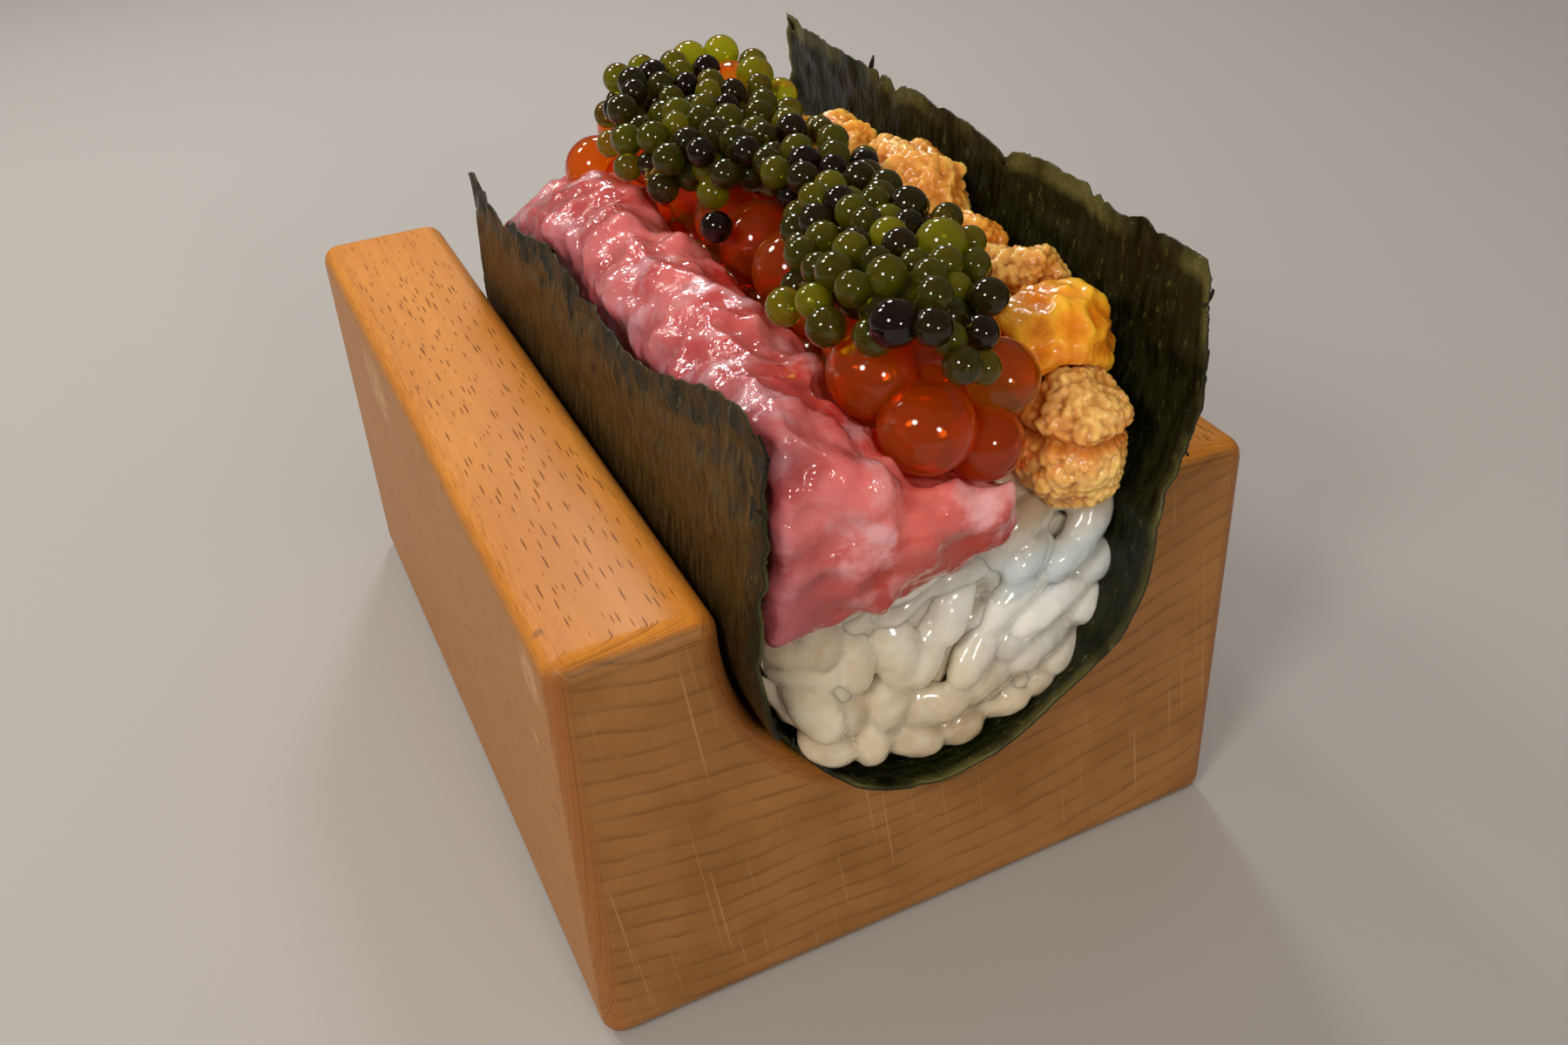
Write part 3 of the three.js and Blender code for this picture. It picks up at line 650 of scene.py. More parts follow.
def sheet_mesh():
    along_u, along_y = crowded(230, 1.35), crowded(190, 1.15)
    placed = [sheet_point(u, v, side) for side in (-1, 1) for v in along_y for u in along_u]
    points = [point for point, distance in placed]
    edge_distance = [distance for point, distance in placed]
    layer = len(points) // 2
    inside = [1.0] * layer + [0.0] * layer
    grid = np.arange(layer).reshape(len(along_y), len(along_u))
    faces = []
    for rows in (grid.tolist(), (grid + layer).tolist()):
        for near, far in zip(rows, rows[1:]):
            faces += stitch(near, far)
    for rim in (grid[0], grid[-1], grid[:, 0], grid[:, -1]):
        faces += stitch(rim.tolist(), (rim + layer).tolist())
    for shred in SHREDS:
        strip, strip_faces = shred_strip(*shred)
        faces += [tuple(corner + len(points) for corner in face) for face in strip_faces]
        points += strip
        edge_distance += [0.0] * len(strip)
        inside += [0.0] * len(strip)
    mesh = mesh_from("nori_sheet", points, faces)
    form = bmesh.new()
    form.from_mesh(mesh)
    bmesh.ops.recalc_face_normals(form, faces=form.faces)
    form.to_mesh(mesh)
    form.free()
    give_value(mesh, "edge_distance", edge_distance)
    give_value(mesh, "inside", inside)
    return mesh

# %% Tear off a few shreds
# Each shred is a thin curled strip: its root, the way it points, its length and width, its curl.
SHRED_THICKNESS = 0.14                    # mm
ROOT_DEPTH = 0.5                          # mm, how far a shred starts inside the sheet
SHREDS = [
    ((-15.2, -44.9, 52.0), (0.25, -0.5, 0.9), 2.4, 0.22, 0.5),
    ((-15.6, -45.0, 50.4), (0.10, -0.8, 0.5), 1.2, 0.16, -0.6),
    ((-15.9, -44.7, 43.0), (0.15, -0.9, -0.2), 0.9, 0.25, 0.7),
    ((-15.9, -44.2, 36.5), (-0.10, -0.9, -0.5), 0.9, 0.35, 0.8),
    ((-15.0, -43.9, 31.0), (-0.30, -0.9, -0.3), 0.9, 0.35, -0.7),
    ((-13.6, -43.6, 28.2), (-0.50, -0.8, -0.1), 0.8, 0.3, 0.7),
    ((19.6, -45.2, 56.5), (0.45, -0.2, 0.2), 0.9, 1.4, 0.9),
    ((19.5, -44.9, 47.5), (0.5, -0.6, 0.3), 0.9, 0.6, 0.6),
    ((19.3, -44.6, 44.3), (0.4, -0.7, -0.3), 0.9, 0.5, -0.6),
    ((19.6, 4.9, 60.2), (0.1, -0.3, 0.9), 0.8, 0.5, 0.4),
    ((19.3, 22.0, 59.8), (0.0, 0.4, 0.8), 0.9, 0.6, -0.4),
]

def shred_strip(root, way, length, width, curl):
    """A flat tapering strip of a few segments that bends as it goes, as points and faces."""
    steps = 6
    here, way = Vector(root), Vector(way).normalized()
    side = way.cross(Vector((0.3, 0.1, 1))).normalized()
    bend = Matrix.Rotation(curl / steps, 3, side)
    here = here - way * ROOT_DEPTH
    points, faces = [], []
    for step in range(steps + 1):
        half = width / 2 * (1 - 0.8 * (step / steps) ** 2)
        up = side.cross(way) * SHRED_THICKNESS / 2
        points += [tuple(here + a * side * half + b * up) for a, b in
                   ((-1, -1), (1, -1), (1, 1), (-1, 1))]
        way = bend @ way
        here = here + way * (length + ROOT_DEPTH) / steps
    for step in range(steps):
        a = 4 * step
        faces += [(a + k, a + (k + 1) % 4, a + 4 + (k + 1) % 4, a + 4 + k) for k in range(4)]
    return points, [(0, 3, 2, 1), *faces, tuple(4 * steps + k for k in range(4))]

# %% Colour the seaweed
EDGE_BAND = 7.5                           # mm; the most that the dark band along the edge reaches

def sheet_outside(tree, place, edge, fibre, cloud, fleck):
    """Brown and fibrous, with painted shade low down near the holder and a darker ragged band along
    the torn edge.
    """
    dash = patches(tree, place, 1.0, 0.60, 0.66, stretch=(1.0, 1.9, 0.45), detail=2.0)
    outer = colour_mix(tree, fibre, (0.010, 0.006, 0.002), (0.105, 0.062, 0.016))
    outer = stain(tree, outer, cloud, 0.55, (0.062, 0.038, 0.010))
    # Painted shade: darker low down, where the holder shades the sheet.
    outer = shade_along(tree, outer, split(tree, place)["Z"], 49.0, 38.0, 0.75,
                        (0.026, 0.013, 0.003))
    outer = stain(tree, outer, dash, 0.95, (0.008, 0.007, 0.004))
    ragged = add(tree, "ShaderNodeTexNoise", {"Vector": place, "Scale": 0.55, "Detail": 6.0})
    torn = calculate(tree, "MULTIPLY", ragged.outputs[0], EDGE_BAND)
    band = fade(tree, calculate(tree, "SUBTRACT", torn, edge), 0.6, 1.4)
    dark = colour_mix(tree, fleck, (0.014, 0.014, 0.007), (0.075, 0.080, 0.040))
    return colour_mix(tree, band, outer, dark)

def sheet_inside(tree, edge, fibre, cloud, fleck):
    """Nearly black green, partly the sheet's own colour and partly painted shade inside the roll, with
    straw-coloured places at the torn edge.
    """
    inner = colour_mix(tree, fibre, (0.003, 0.0035, 0.001), (0.014, 0.0155, 0.003))
    inner = stain(tree, inner, cloud, 0.4, (0.020, 0.024, 0.005))
    inner = stain(tree, inner, fleck, 0.55, (0.085, 0.09, 0.02))
    at_edge = fade(tree, edge, 1.9, 1.0, top=0.55)
    return stain(tree, inner, at_edge, cloud, (0.22, 0.20, 0.06))

def nori_material():
    material, tree, surface, place = start_material("nori", Roughness=0.45, Specular_IOR_Level=0.12,
                                                    Coat_Weight=0.1, Coat_Roughness=0.15)
    edge = painted(tree, "edge_distance")
    fibre = patches(tree, place, 1.0, 0.36, 0.66, stretch=(0.5, 1.5, 0.3), detail=6.0)
    cloud = patches(tree, place, 0.14, 0.35, 0.65, stretch=(1, 1, 0.6))
    fleck = patches(tree, place, 1.5, 0.62, 0.70, stretch=(0.7, 1.3, 0.5), detail=3.0)
    outer = sheet_outside(tree, place, edge, fibre, cloud, fleck)
    inner = sheet_inside(tree, edge, fibre, cloud, fleck)
    # The inner face is darker than the outer: partly the sheet's own colour, partly painted shade
    # inside the roll.
    colour = colour_mix(tree, painted(tree, "inside"), outer, inner)
    connect(tree, surface, Base_Color=colour)
    connect(tree, surface, Roughness=fade(tree, fibre, bottom=0.30, top=0.55))
    coarse = relief(tree, place, 0.8, 0.45, cells=0.3, stretch=(1, 1.5, 0.45))
    fine = relief(tree, place, 3.2, 0.14, cells=0.5, under=coarse)
    connect(tree, surface, Normal=fine)
    return material

add_piece("nori_sheet", sheet_mesh(), nori_material(), "nori", "nori")

# %% [markdown]
# ## The rice
# A cooked grain is a bent, blunt rod that is a little translucent, and cooked grains stick
# together. The grains of the open end have places of their own, a second layer shows through the
# gaps between them, and the far end has a layer too. One skin is drawn round them all, which
# rounds the hollows where they touch. A smooth bed, the solid's own core, fills what lies behind.

# %% Shape the rice
RICE_END = {"front": -40.2, "back": 21.5}
GRAIN = {"length": 7.0, "width": 3.9, "depth": 2.8}
GRAIN_SPACING = (4.0, 2.6)                # mm across and up, in the layers behind
SKIN_VOXEL = 0.27                         # mm; the fineness of the skin round the grains
# The front grains: middle across and up in mm, length in mm, lean in degrees from level, and how
# far the grain stands forward in mm.
FRONT_GRAINS = [
    (-10.8, 28.8, 7.5, -66, 0.7), (-8.4, 27.6, 5.8, -78, 0.4), (-6.0, 23.4, 5.2, -88, 0.5),
    (-2.5, 22.6, 7.5, -38, 0.3), (-1.6, 25.6, 8.2, -12, 1.0), (5.2, 22.2, 7.2, -4, 0.2),
    (10.0, 22.6, 5.2, 6, 0.1), (12.0, 25.0, 5.8, 2, 0.4), (9.9, 27.2, 8.6, 8, 0.8),
    (4.2, 25.4, 7.3, 14, 1.1), (3.2, 29.2, 7.5, 46, 1.2), (10.3, 30.9, 8.9, 6, 1.1),
    (12.0, 34.8, 6.4, 12, 0.7), (8.0, 35.8, 5.6, 30, 0.9), (15.0, 32.4, 5.0, 18, 0.0),
    (14.6, 28.8, 5.0, 22, 0.0), (-0.9, 31.0, 7.3, 58, 0.9), (-4.2, 31.4, 7.4, -80, 1.0),
    (-7.8, 32.3, 7.0, -76, 0.6), (-11.4, 34.6, 6.2, -12, 0.3), (-11.2, 32.0, 6.4, -34, 0.2),
    (-4.0, 27.4, 6.8, 72, 0.7), (-10.3, 35.8, 6.9, -74, 0.5), (6.9, 32.6, 8.5, 34, 1.0),
    (7.6, 29.6, 6.8, 26, 0.9), (1.4, 33.6, 6.6, 62, 0.8),
    (-9.2, 24.0, 5.6, -50, 0.0), (1.4, 21.2, 6.2, -4, 0.1), (14.0, 37.4, 5.8, 50, 0.2),
    (8.6, 38.9, 6.6, 12, -0.4), (-1.6, 36.6, 6.6, 14, -0.1), (3.2, 38.8, 6.4, 22, -0.4),
    (-6.2, 36.2, 6.4, -10, -0.1), (12.6, 39.6, 5.9, -14, -0.8), (6.4, 37.6, 5.4, 40, 0.0),
]

def grain_form(ball, length, random):
    """A blunt, slightly bent rod, in mm, along X."""
    x, y, z = ball.T
    blunt = np.sign(x) * np.abs(x) ** 0.95
    fat = 1 + 0.06 * np.abs(x) ** 2
    bend = random.uniform(-0.35, 0.35)
    taper = 1 - 0.13 * x * random.uniform(-1, 1)
    groove = 1 - 0.07 * np.exp(-(y / 0.25) ** 2)
    width = GRAIN["width"] * random.uniform(0.9, 1.08)
    depth = GRAIN["depth"] * random.uniform(0.9, 1.08)
    return np.column_stack([blunt * length / 2, y * fat * taper * groove * depth / 2,
                            z * fat * taper * width / 2 + bend * (1 - x * x)])

def under_grains(end, facing, random):
    """A loose brick pattern of grains over an end: (middle, rotation, length)."""
    places = []
    step_x, step_z = GRAIN_SPACING
    for row in range(9):
        for column in range(-5, 6):
            x = (column + 0.5 * (row % 2) + 0.35 * (random.random() - 0.5)) * step_x
            z = 20.2 + (row + 0.4 * (random.random() - 0.5)) * step_z
            reach = math.hypot(x / 15.0, min(z - CHANNEL_CENTRE, 0) / 18.0)
            if reach > 0.92 or z > 41:
                continue
            lean = mix(1.35, 0.2, smooth(-10, 3, x)) + 0.55 * (random.random() - 0.5)
            y = end + facing * (-0.4 + 1.2 * reach ** 2 + 0.6 * random.random())
            turn = Euler((0.6 * (random.random() - 0.5), -lean, 0.4 * (random.random() - 0.5)))
            length = GRAIN["length"] * random.uniform(0.86, 1.08)
            places.append((Vector((x, y, z)), turn.to_matrix(), length))
    return places

def front_grains(random):
    """The grains with places of their own, each tilted a little at random."""
    places = []
    for x, z, length, lean, forward in FRONT_GRAINS:
        tilt = math.copysign(random.uniform(0.10, 0.34), lean)
        turn = Euler((random.uniform(-0.3, 0.3), math.radians(-lean), tilt), "XZY")
        middle = Vector((x, RICE_END["front"] - 0.3 - forward, z))
        places.append((middle, turn.to_matrix(), length))
    return places

def all_grains():
    random = np.random.default_rng(4)
    return (front_grains(random) + under_grains(RICE_END["front"] + 1.6, 1, random)
            + under_grains(RICE_END["back"], -1, random))

def sticky_rice(grains):
    """The grains stuck together in one skin, each with a tone of its own."""
    random = np.random.default_rng(6)
    ball, faces = ball_form(4)
    shapes = [grain_form(ball, length, random) @ np.array(turn).T + np.array(middle)
              for middle, turn, length in grains]
    mesh = even_skin(stacked("rice_grains", shapes, faces), SKIN_VOXEL, 1)
    push_out(mesh, lambda p: 0.10 * noise.noise(p * 0.8) + 0.03 * noise.noise(p * 2.4))
    tones = random.random(len(grains))
    finder = kdtree.KDTree(len(grains) * 3)
    for index, (middle, turn, length) in enumerate(grains):
        for step in (-0.32, 0.0, 0.32):
            finder.insert(middle + turn @ Vector((step * length, 0, 0)), index)
    finder.balance()
    give_value(mesh, "tone", [tones[finder.find(p)[1]] for p in read_points(mesh) / MM])
    return mesh

# %% Colour the rice
def rice_material():
    material, tree, surface, place = start_material(
        "rice", Roughness=0.26, IOR=1.42, Subsurface_Weight=1.0, Subsurface_Scale=0.0011,
        Subsurface_Radius=(1.0, 0.92, 0.8), Coat_Weight=1.0, Coat_Roughness=0.06)
    tone = painted(tree, "tone")
    at = split(tree, place)
    ivory = colour_ramp(tree, tone, [(0.0, (0.48, 0.39, 0.26)), (1.0, (0.86, 0.79, 0.62))])
    # Painted light: the grains turn bluish white towards the top right, where the light falls on them,
    # and stay ivory low on the left.
    lit_bluish_white = colour_ramp(tree, tone, [(0.0, (0.50, 0.58, 0.61)), (1.0, (0.84, 0.87, 0.86))])
    slant = calculate(tree, "ADD", at["Z"], calculate(tree, "MULTIPLY", at["X"], 0.75))
    colour = colour_mix(tree, fade(tree, slant, 27.0, 40.0), ivory, lit_bluish_white)
    # Painted shade: darker low down, under the tuna, under the sea urchin and deeper in the end.
    colour = shade_along(tree, colour, at["Z"], 29.0, 22.5, 0.5, (0.48, 0.35, 0.19))
    tuna_shade_line = calculate(tree, "SUBTRACT", at["Z"], calculate(tree, "MULTIPLY", at["X"], 0.35))
    colour = shade_along(tree, colour, tuna_shade_line, 36.5, 41.0, 0.55, (0.50, 0.36, 0.24))
    colour = shade_along(tree, colour, at["Z"], 36.6, 39.4, 0.75, (0.46, 0.33, 0.20))
    colour = shade_along(tree, colour, at["Y"], -42.4, -40.4, 0.55, (0.56, 0.45, 0.30))
    cloudy = patches(tree, place, 0.5, 0.4, 0.75)
    colour = stain(tree, colour, cloudy, 0.25, (0.90, 0.90, 0.86))
    connect(tree, surface, Base_Color=colour)
    normal = relief(tree, place, 1.3, 0.05, cells=0.2, detail=1.0)
    connect(tree, surface, Normal=normal)
    return material

# %% Lay the rice
BED_VOXEL = 0.6                           # mm
BED_DROP = 0.25                           # mm; how far the bed lies below the solid's surface

RICE_LOOK = rice_material()
add_piece("rice_grains", sticky_rice(all_grains()), RICE_LOOK, "rice", "rice")
rice_bed = fine_copy("rice", BED_VOXEL, 10)
push_out(rice_bed, lambda p: 0.3 * noise.noise(p * 0.6) - BED_DROP)
# The bed's tone is darker than most grains': painted shade in the gaps between them.
give_value(rice_bed, "tone", np.full(len(rice_bed.vertices), 0.3))
add_piece("rice_bed", rice_bed, RICE_LOOK, "rice", "rice")

# %% [markdown]
# ## The tuna
# Fatty tuna is scraped and chopped to a soft, wet mince. Lumps of a few millimetres sit in a
# smooth paste, fat makes pale lilac patches and lean meat red ones, and the wet film breaks every
# reflection into sparks. The lumps are real relief, and only the finest grain is a bump.

# %% Shape the tuna
TUNA_VOXEL = 0.40                         # mm

def tuna_height(p):
    """How far the mince stands out at a point, in mm; most at the open end."""
    back = smooth(-44.0, -40.0, p.y)
    soft = noise.noise(p * 0.21 + Vector((3, 0, 0))) * mix(1.5, 0.8, back)
    lumps = noise.noise(p * 0.42) * mix(0.6, 0.7, back)
    mince = (0.5 - noise.voronoi(p * 0.55)[0][0]) * mix(0.3, 0.22, back)
    fine = noise.noise(p * 1.4) * 0.09
    return soft + lumps + mince + fine - 0.35

tuna_mesh = fine_copy("tuna", TUNA_VOXEL, 10)
tuna_rise = push_out(tuna_mesh, tuna_height)
give_value(tuna_mesh, "raised", (tuna_rise - tuna_rise.min()) / max(np.ptp(tuna_rise), 1e-6))
print("tuna lumps in mm:", tuna_rise.min().round(2), "to", tuna_rise.max().round(2))

# %% Colour the tuna
def tuna_material():
    material, tree, surface, place = start_material(
        "tuna", Roughness=0.22, IOR=1.4, Subsurface_Weight=0.9, Subsurface_Scale=0.0013,
        Subsurface_Radius=(1.0, 0.30, 0.22), Specular_IOR_Level=0.2,
        Coat_Weight=1.0, Coat_Roughness=0.05)
    surface.subsurface_method = "BURLEY"
    at = split(tree, place)
    lean_meat = patches(tree, place, 0.17, 0.44, 0.62, stretch=(1, 1, 1.6), detail=5.0)
    fat = patches(tree, place, 0.20, 0.50, 0.66, stretch=(1, 1.3, 1), detail=5.0)
    strands = patches(tree, place, 0.8, 0.45, 0.7, stretch=(1.0, 0.7, 1.6), detail=4.0)
    colour = colour_mix(tree, lean_meat, (0.80, 0.170, 0.160), (0.58, 0.034, 0.024))
    colour = stain(tree, colour, fat, 0.85, (0.82, 0.44, 0.48))
    colour = stain(tree, colour, strands, 0.3, (0.74, 0.32, 0.26))
    # Painted shade: deep red in the hollows between the lumps.
    colour = shade_along(tree, colour, painted(tree, "raised"), 0.5, 0.2, 0.75,
                         (0.46, 0.050, 0.030))
    # Painted shade: deeper red low down, up to a ragged line.
    ragged = calculate(tree, "ADD", at["Z"], calculate(tree, "MULTIPLY", fat, 4.0))
    colour = shade_along(tree, colour, ragged, 47.5, 41.0, 0.9, (0.36, 0.032, 0.016))
    # Painted shade: the left side is darker.
    colour = shade_along(tree, colour, at["X"], -6.0, -14.0, 0.5, (0.34, 0.12, 0.16))
    connect(tree, surface, Base_Color=colour)
    meat = relief(tree, place, 1.2, 0.16, cells=0.4)
    film = relief(tree, place, 1.5, 0.28, cells=0.3, detail=1.0)
    connect(tree, surface, Normal=meat, Coat_Normal=film)
    return material

add_piece("tuna_mince", tuna_mesh, tuna_material(), "tuna", "tuna")

# %% [markdown]
# ## The salmon roe
# Salmon eggs are soft balls about 7 mm across, clear enough to see through and deep orange-red
# where several lie behind each other. They settle against their neighbours, so the balls are first
# placed roughly and then pushed apart until they only just press into each other.

# %% Shape the salmon roe
ROE_RADIUS = 3.35
ROE_LOW = np.array((-3.4, -36.5, 38.6))   # mm; the corners of the room that the balls lie in
ROE_HIGH = np.array((9.0, 21.5, 52.6))
ROE_ROWS = (42.2, 47.6, 52.4)             # mm; the heights of three layers of balls
# The balls with places of their own: middle and radius in mm.
FRONT_ROE = [(-1.0, -41.4, 50.4, 3.5), (-2.9, -37.0, 53.2, 3.4), (5.6, -40.3, 51.9, 2.95),
             (3.6, -41.6, 47.9, 3.0), (1.9, -36.4, 53.6, 3.4), (8.0, 12.0, 57.2, 3.3),
             (-4.4, 18.4, 50.2, 3.2)]

def settle(middles, radii, fixed, keep_in, rounds):
    """Pushes overlapping balls apart. Fixed ones stay, and keep_in holds the rest in their room."""
    for _ in range(rounds):
        away = middles[:, None] - middles[None]
        distance = np.linalg.norm(away, axis=2) + np.eye(len(middles))
        overlap = np.clip(radii[:, None] + radii[None] - distance, 0, None)
        np.fill_diagonal(overlap, 0)
        step = (away / distance[..., None] * overlap[..., None]).sum(1) * 0.4
        step[fixed] = 0
        middles = keep_in(middles + step, radii)
    return middles

def roe_room(middles, radii):
    free = slice(len(FRONT_ROE), None)
    low = ROE_LOW + radii[:, None] * (1.0, 0.4, 1.0)
    high = ROE_HIGH - radii[:, None] * (1.0, 0.0, 0.0)
    middles[free] = np.clip(middles, low, high)[free]
    return middles

def roe_places():
    random = np.random.default_rng(8)
    rows = []
    for layer, z in enumerate(ROE_ROWS):
        for j in range(9):
            for x in (0.2, 5.6):
                y = ROE_LOW[1] + 3.5 + 6.5 * j + 3 * (layer % 2)
                rows.append((x, y, z, ROE_RADIUS * random.uniform(0.93, 1.07)))
    balls = np.array(FRONT_ROE + rows)
    balls[len(FRONT_ROE):, :3] += random.uniform(-1.1, 1.1, (len(rows), 3))
    fixed = np.arange(len(balls)) < len(FRONT_ROE)
    middles = settle(balls[:, :3], balls[:, 3] * 0.96, fixed, roe_room, 60)
    return middles, balls[:, 3]

def balls_mesh(name, middles, radii, tones, subdivisions, wobble, seed):
    """Balls as one mesh, each a little out of round, with a tone of its own."""
    random = np.random.default_rng(seed)
    ball, faces = ball_form(subdivisions)
    shapes = []
    for middle, radius in zip(middles, radii):
        squash = 1 + wobble * random.uniform(-1, 1, 3)
        lean = np.array(Euler(random.uniform(0, 3, 3)).to_matrix())
        shapes.append((ball * squash) @ lean.T * radius + middle)
    mesh = stacked(name, shapes, faces)
    give_value(mesh, "tone", np.repeat(tones, len(ball)))
    return mesh

# %% Colour the salmon roe
def clear_egg_material(name, colours, tint, per_metre, clearness):
    """Colour scattered in the skin, and tint taken up by the clear inside."""
    material, tree, surface, place = start_material(
        name, Roughness=0.06, IOR=1.2, Subsurface_Weight=1.0, Subsurface_Scale=0.003,
        Subsurface_Radius=(1.0, 0.3, 0.06), Transmission_Weight=clearness, Coat_Weight=0.6,
        Coat_Roughness=0.03)
    connect(tree, surface, Base_Color=colour_ramp(tree, painted(tree, "tone"), colours))
    normal = relief(tree, place, 0.7, 0.025, cells=0.0, detail=0.0)
    connect(tree, surface, Normal=normal, Coat_Normal=normal)
    inside = add(tree, "ShaderNodeVolumeAbsorption", {"Color": (*tint, 1), "Density": per_metre})
    tree.links.new(inside.outputs[0], tree.nodes["Material Output"].inputs["Volume"])
    return material

ROE_LOOK = clear_egg_material(
    "salmon_roe", [(0.0, (1.0, 0.15, 0.004)), (1.0, (1.0, 0.32, 0.012))], (0.99, 0.72, 0.02),
    100, 0.86)
roe_middles, roe_radii = roe_places()
roe_tones = np.random.default_rng(2).random(len(roe_radii))
add_piece("salmon_roe_balls", balls_mesh("salmon_roe_balls", roe_middles, roe_radii, roe_tones,
                                         4, 0.03, 3), ROE_LOOK, "salmon_roe", "salmon_roe")

# %% [markdown]
# ## The caviar
# The dark pearls are nearly 3 mm across and cling together in a winding heap. The light that
# enters at the top leaves them olive green at the bottom, and some are nearly black. The pearls
# that show have places of their own. Smaller rows of pearls and a dark film fill the heap below
# them; the film's dark colour is partly painted shade.

# %% Shape the caviar
PEARL_RADIUS = 1.4
# The middle of the heap, from back to front: a point in mm and half the heap's width there.
CAVIAR_LINE = [(2.6, 15, 58.4, 4.6), (0.2, 7, 57.8, 6.4), (-0.6, -1, 57, 6.4), (1.6, -8, 57, 5.4),
               (4.6, -14, 57, 3.6), (2.2, -20.5, 56.8, 2.2), (1.6, -25, 57, 3.4),
               (0.8, -29.5, 57.2, 5.2), (0.0, -34, 57.2, 5.4), (-0.2, -38.5, 57, 3.2),
               (0.4, -42, 55.8, 1.2)]
# The pearls on top: place and radius in mm, and a tone from 0, nearly black, to 1, yellow green.
TOP_PEARLS = [
    (5.6, -27.4, 58.6, 1.5, 0.12), (1.7, -31.7, 59.6, 1.5, 0.95), (4.6, -34.3, 59.4, 1.9, 0.90),
    (-0.1, -29.8, 59.2, 1.35, 0.20), (-1.1, -26.8, 58.6, 1.45, 0.60), (-0.8, -22.4, 58.0, 1.3, 0.30),
    (-1.0, -37.4, 60.0, 1.5, 0.55), (-3.7, -36.7, 59.4, 1.3, 0.50), (5.6, -37.1, 57.2, 1.2, 0.75),
    (-6.6, -31.3, 56.8, 1.45, 0.80), (-5.5, -34.4, 57.8, 1.35, 0.85), (-2.9, -41.1, 58.4, 1.75, 0.02),
    (0.1, -41.4, 58.8, 1.35, 0.35), (1.5, -42.8, 57.8, 1.3, 0.05), (-1.0, -42.4, 57.4, 1.35, 0.10),
    (-0.5, -44.2, 56.8, 1.35, 0.30), (-3.8, -31.5, 58.9, 1.25, 0.40), (-1.2, -35.0, 60.2, 1.25, 0.30),
    (0.5, -38.2, 60.2, 1.3, 0.45), (5.3, -36.2, 58.4, 1.3, 0.50), (-1.6, -6.0, 56.6, 1.55, 0.70),
    (-3.6, -12.6, 55.2, 1.4, 0.0), (10.1, -11.8, 57.0, 1.3, 0.05), (9.2, -4.6, 58.5, 1.4, 0.60),
    (6.0, -5.2, 59.3, 1.45, 0.70), (2.0, -10.1, 58.4, 1.5, 0.35), (3.0, -11.3, 57.6, 1.3, 0.40),
    (5.2, -11.0, 58.2, 1.35, 0.30), (8.1, -9.3, 58.0, 1.3, 0.20), (5.9, -15.2, 57.6, 1.4, 0.35),
    (2.1, -18.9, 58.2, 1.4, 0.30), (2.9, -5.4, 59.2, 1.45, 0.50), (1.0, 3.6, 59.6, 1.5, 0.30),
    (1.6, -2.1, 60.0, 1.4, 0.50), (-3.0, -4.2, 59.6, 1.35, 0.15), (0.6, 11.0, 59.6, 1.4, 0.40),
    (0.1, 15.7, 58.8, 1.35, 0.35), (-4.0, 13.5, 57.2, 1.35, 0.50), (-6.1, 7.8, 56.4, 1.25, 0.80),
    (-4.3, 2.9, 58.8, 1.4, 0.30), (-6.8, 0.1, 57.0, 1.3, 0.60), (-4.3, -3.3, 58.0, 1.3, 0.20),
    (-2.5, 3.1, 59.6, 1.35, 0.45), (-0.8, -4.3, 57.6, 1.3, 0.30), (5.9, 15.4, 59.6, 1.8, 0.95),
    (7.9, 13.5, 60.0, 1.8, 0.98), (8.8, 9.5, 59.4, 1.75, 0.98), (9.8, 7.5, 58.2, 1.65, 0.95),
    (9.0, 1.3, 58.4, 1.45, 0.60), (4.4, 12.2, 58.8, 1.7, 0.9), (5.2, 8.6, 59.0, 1.6, 0.8),
]

def fill_pearls(random):
    """Rows of pearls along the heap's line, left out where a pearl of its own already lies."""
    line = np.array(CAVIAR_LINE, float)
    length = np.linalg.norm(np.diff(line[:, :3], axis=0), axis=1).sum()
    count = round(length / (PEARL_RADIUS * 1.75))
    top = np.array(TOP_PEARLS)[:, :3]
    rows = []
    for i in range(count + 1):
        at = i / count * (len(line) - 1)
        x, y, z, half = (np.interp(at, np.arange(len(line)), line[:, k]) for k in range(4))
        columns = max(1, round(2 * half / (PEARL_RADIUS * 1.85)))
        for j in range(columns + 1):
            side = mix(-1, 1, (j + 0.5 * (i % 2)) / columns)
            for layer in (-0.6, 1.5):
                rise = layer + 1.4 * math.sqrt(max(0.0, 1 - side * side))
                place = np.array([x + side * half, y, z + rise]) + random.uniform(-0.5, 0.5, 3)
                if np.linalg.norm(top - place, axis=1).min() > PEARL_RADIUS * 1.25:
                    rows.append((*place, PEARL_RADIUS * random.uniform(0.86, 1.06),
                                 0.75 * random.random() ** 1.3))
    return rows

def pearl_room(middles, radii):
    middles[:, 2] = np.clip(middles[:, 2], 54.0, 60.4)
    return middles

def pearl_places():
    pearls = np.array(TOP_PEARLS + fill_pearls(np.random.default_rng(12)))
    count = len(pearls)
    middles = np.vstack([pearls[:, :3], roe_middles])
    radii = np.concatenate([pearls[:, 3] * 0.88, roe_radii * 0.95])
    on_roe = np.arange(len(middles)) >= count
    settled = settle(middles, radii, on_roe, pearl_room, 14)[:count]
    return settled, pearls[:, 3], pearls[:, 4]

# %% Colour the caviar
FILM_DROP = 1.3                           # mm; how far the film lies below the solid's surface

def shaded_film_material():
    """The dull wet mass between the pearls, seen only through the gaps; its dark colour is partly
    painted shade.
    """
    material, tree, surface, place = start_material(
        "caviar_film", Roughness=0.15, Subsurface_Weight=1.0, Subsurface_Scale=0.002,
        Subsurface_Radius=(1.0, 0.3, 0.1), Coat_Weight=0.5, Coat_Roughness=0.08)
    mottle = patches(tree, place, 0.4, 0.35, 0.65)
    # Painted shade: the film is darker than the pearls around it.
    colour = colour_mix(tree, mottle, (0.012, 0.011, 0.003), (0.08, 0.08, 0.010))
    connect(tree, surface, Base_Color=colour)
    return material

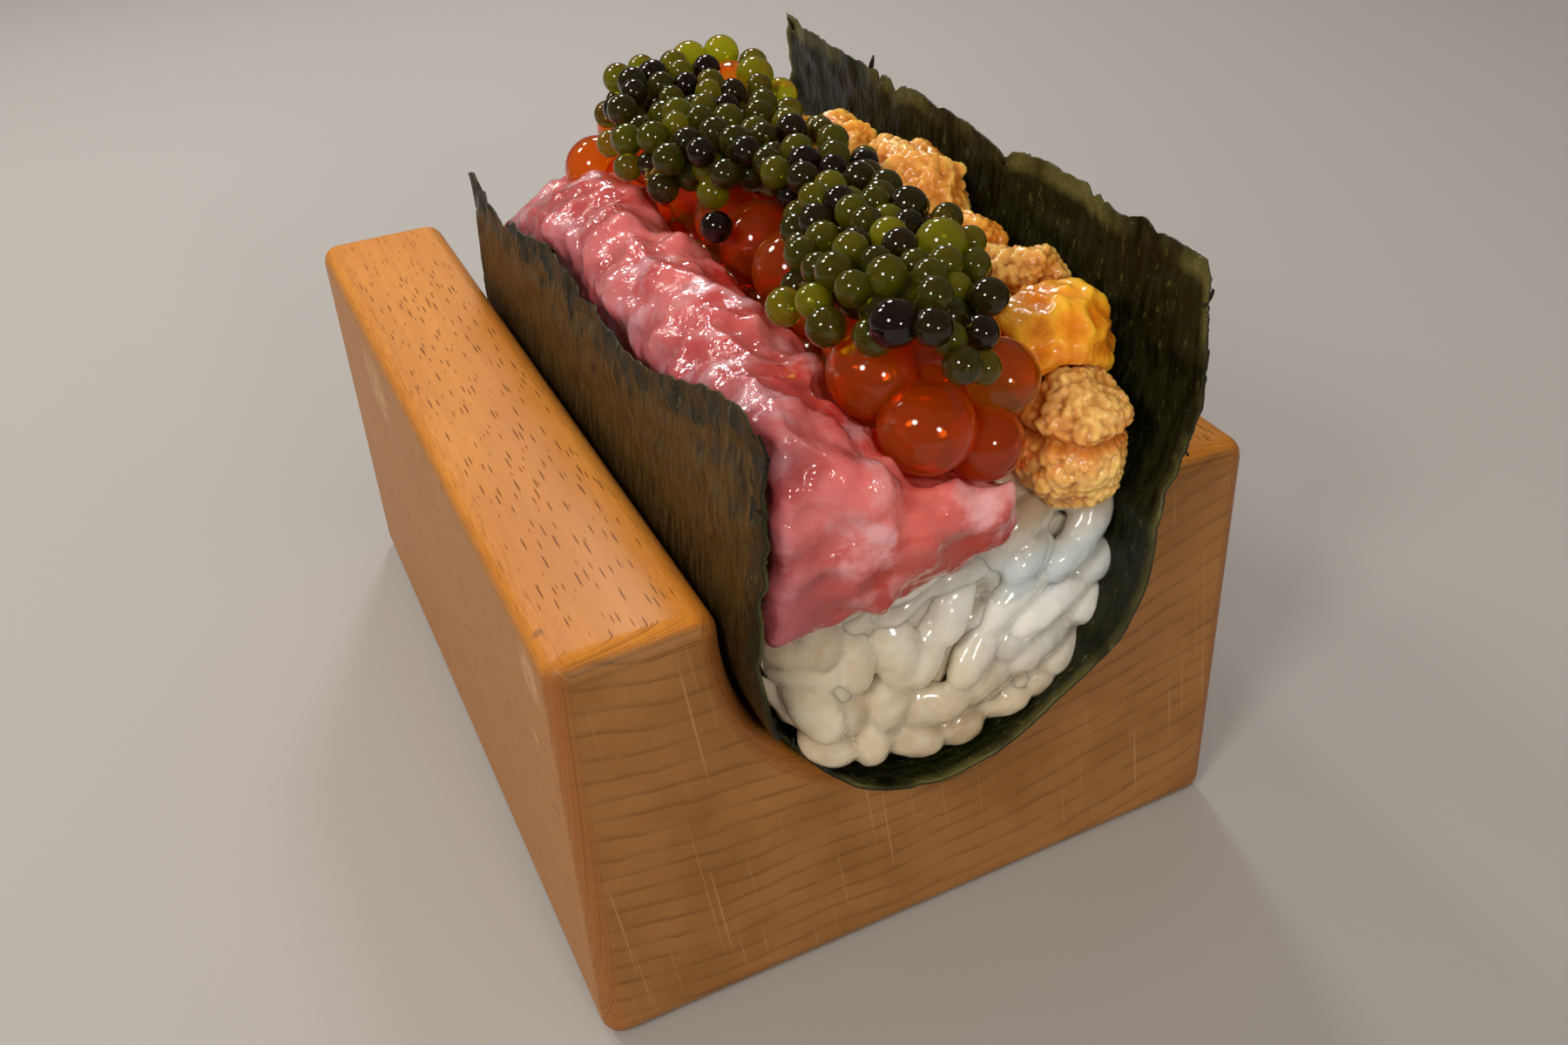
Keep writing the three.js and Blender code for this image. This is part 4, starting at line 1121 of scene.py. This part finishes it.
CAVIAR_LOOK = clear_egg_material(
    "caviar", [(0.0, (0.025, 0.010, 0.011)), (0.3, (0.085, 0.085, 0.005)), (0.6, (0.20, 0.205, 0.007)),
               (1.0, (0.50, 0.50, 0.012))], (0.82, 0.83, 0.02), 350, 0.74)
pearl_middles, pearl_radii, pearl_tones = pearl_places()
add_piece("caviar_pearls", balls_mesh("caviar_pearls", pearl_middles, pearl_radii, pearl_tones,
                                      3, 0.04, 6), CAVIAR_LOOK, "caviar", "caviar")
caviar_film = fine_copy("caviar", 0.5, 16)
push_out(caviar_film, lambda p: -FILM_DROP)
add_piece("caviar_film", caviar_film, shaded_film_material(), "caviar", "caviar")
print("pearls:", len(pearl_radii))

# %% [markdown]
# ## The sea urchin
# Sea urchin lobes are golden and covered with rounded pimples of half a millimetre. Moist lobes
# look smooth and orange, and drier ones tan and grainy. Each lobe is a fine copy of its solid with
# its own pimples pushed out as real relief.

# %% Shape and colour the sea urchin
# For each lobe: how tall its pimples are in mm, how deep its folds, and how orange from 0 to 1.
URCHIN = {1: (0.30, 0.9, 0.15), 2: (0.05, 0.9, 1.0), 3: (0.40, 1.0, 0.30), 4: (0.2, 0.8, 0.6),
          5: (0.22, 1.5, 0.45), 6: (0.16, 1.3, 0.65), 7: (0.16, 1.0, 0.75)}
PIMPLES_PER_MM = 1.55
LOBE_VOXEL = 0.22                         # mm
CREASE_HEIGHT = 46.4                      # mm; where the front lobe parts in two halves

# noise_vector starts somewhere else in each session, unless it gets a seed.
noise.seed_set(5)

def urchin_height(tall, folds, seed):
    """A function for push_out: pimples on large, soft folds."""
    shift = Vector((seed * 13.0, 0, 0))
    def height(p):
        warp = p + shift + 0.2 * noise.noise_vector(p * 0.8)
        reach = noise.voronoi(warp * PIMPLES_PER_MM)[0][0]
        pimple = math.sqrt(max(0.0, 1 - (reach / 0.72) ** 2))
        lobe = noise.noise((p + shift) * 0.30) * 0.55
        fold = abs(noise.noise((p + shift) * 0.42)) * -0.75 + noise.noise((p + shift) * 0.85) * 0.2
        crease = hump(p.z, CREASE_HEIGHT, 0.55) * 0.9 if seed == 1 else 0.0
        return tall * (pimple * 1.7 - 1.0) + folds * (lobe + fold + 0.1) - crease
    return height

def urchin_material():
    material, tree, surface, place = start_material(
        "uni", Roughness=0.3, IOR=1.4, Subsurface_Weight=0.8, Subsurface_Scale=0.0012,
        Subsurface_Radius=(1.0, 0.45, 0.12), Coat_Weight=0.5, Coat_Roughness=0.12)
    moist = painted(tree, "moist")
    # Painted light and shade: the raised pimples are lighter and the hollows between them darker.
    hollow_shade = colour_mix(tree, moist, (0.50, 0.18, 0.028), (0.80, 0.24, 0.008))
    high = colour_mix(tree, moist, (0.90, 0.57, 0.20), (1.0, 0.50, 0.03))
    colour = colour_mix(tree, painted(tree, "raised"), hollow_shade, high)
    blush = patches(tree, place, 0.22, 0.48, 0.7, detail=4.0)
    colour = stain(tree, colour, blush, 0.55, (0.66, 0.19, 0.015))
    connect(tree, surface, Base_Color=colour)
    normal = relief(tree, place, 2.2, 0.10, cells=0.7, detail=1.0)
    connect(tree, surface, Normal=normal, Coat_Normal=normal)
    return material

URCHIN_LOOK = urchin_material()
for number, (tall, folds, moisture) in URCHIN.items():
    lobe = fine_copy(f"uni_{number}", LOBE_VOXEL, 12)
    rise = push_out(lobe, urchin_height(tall, folds, number))
    low, high = np.percentile(rise, (8, 92))
    give_value(lobe, "raised", np.clip((rise - low) / max(high - low, 1e-6), 0, 1))
    give_value(lobe, "moist", np.full(len(rise), moisture))
    add_piece(f"uni_lobe_{number}", lobe, URCHIN_LOOK, "uni", f"uni_{number}")
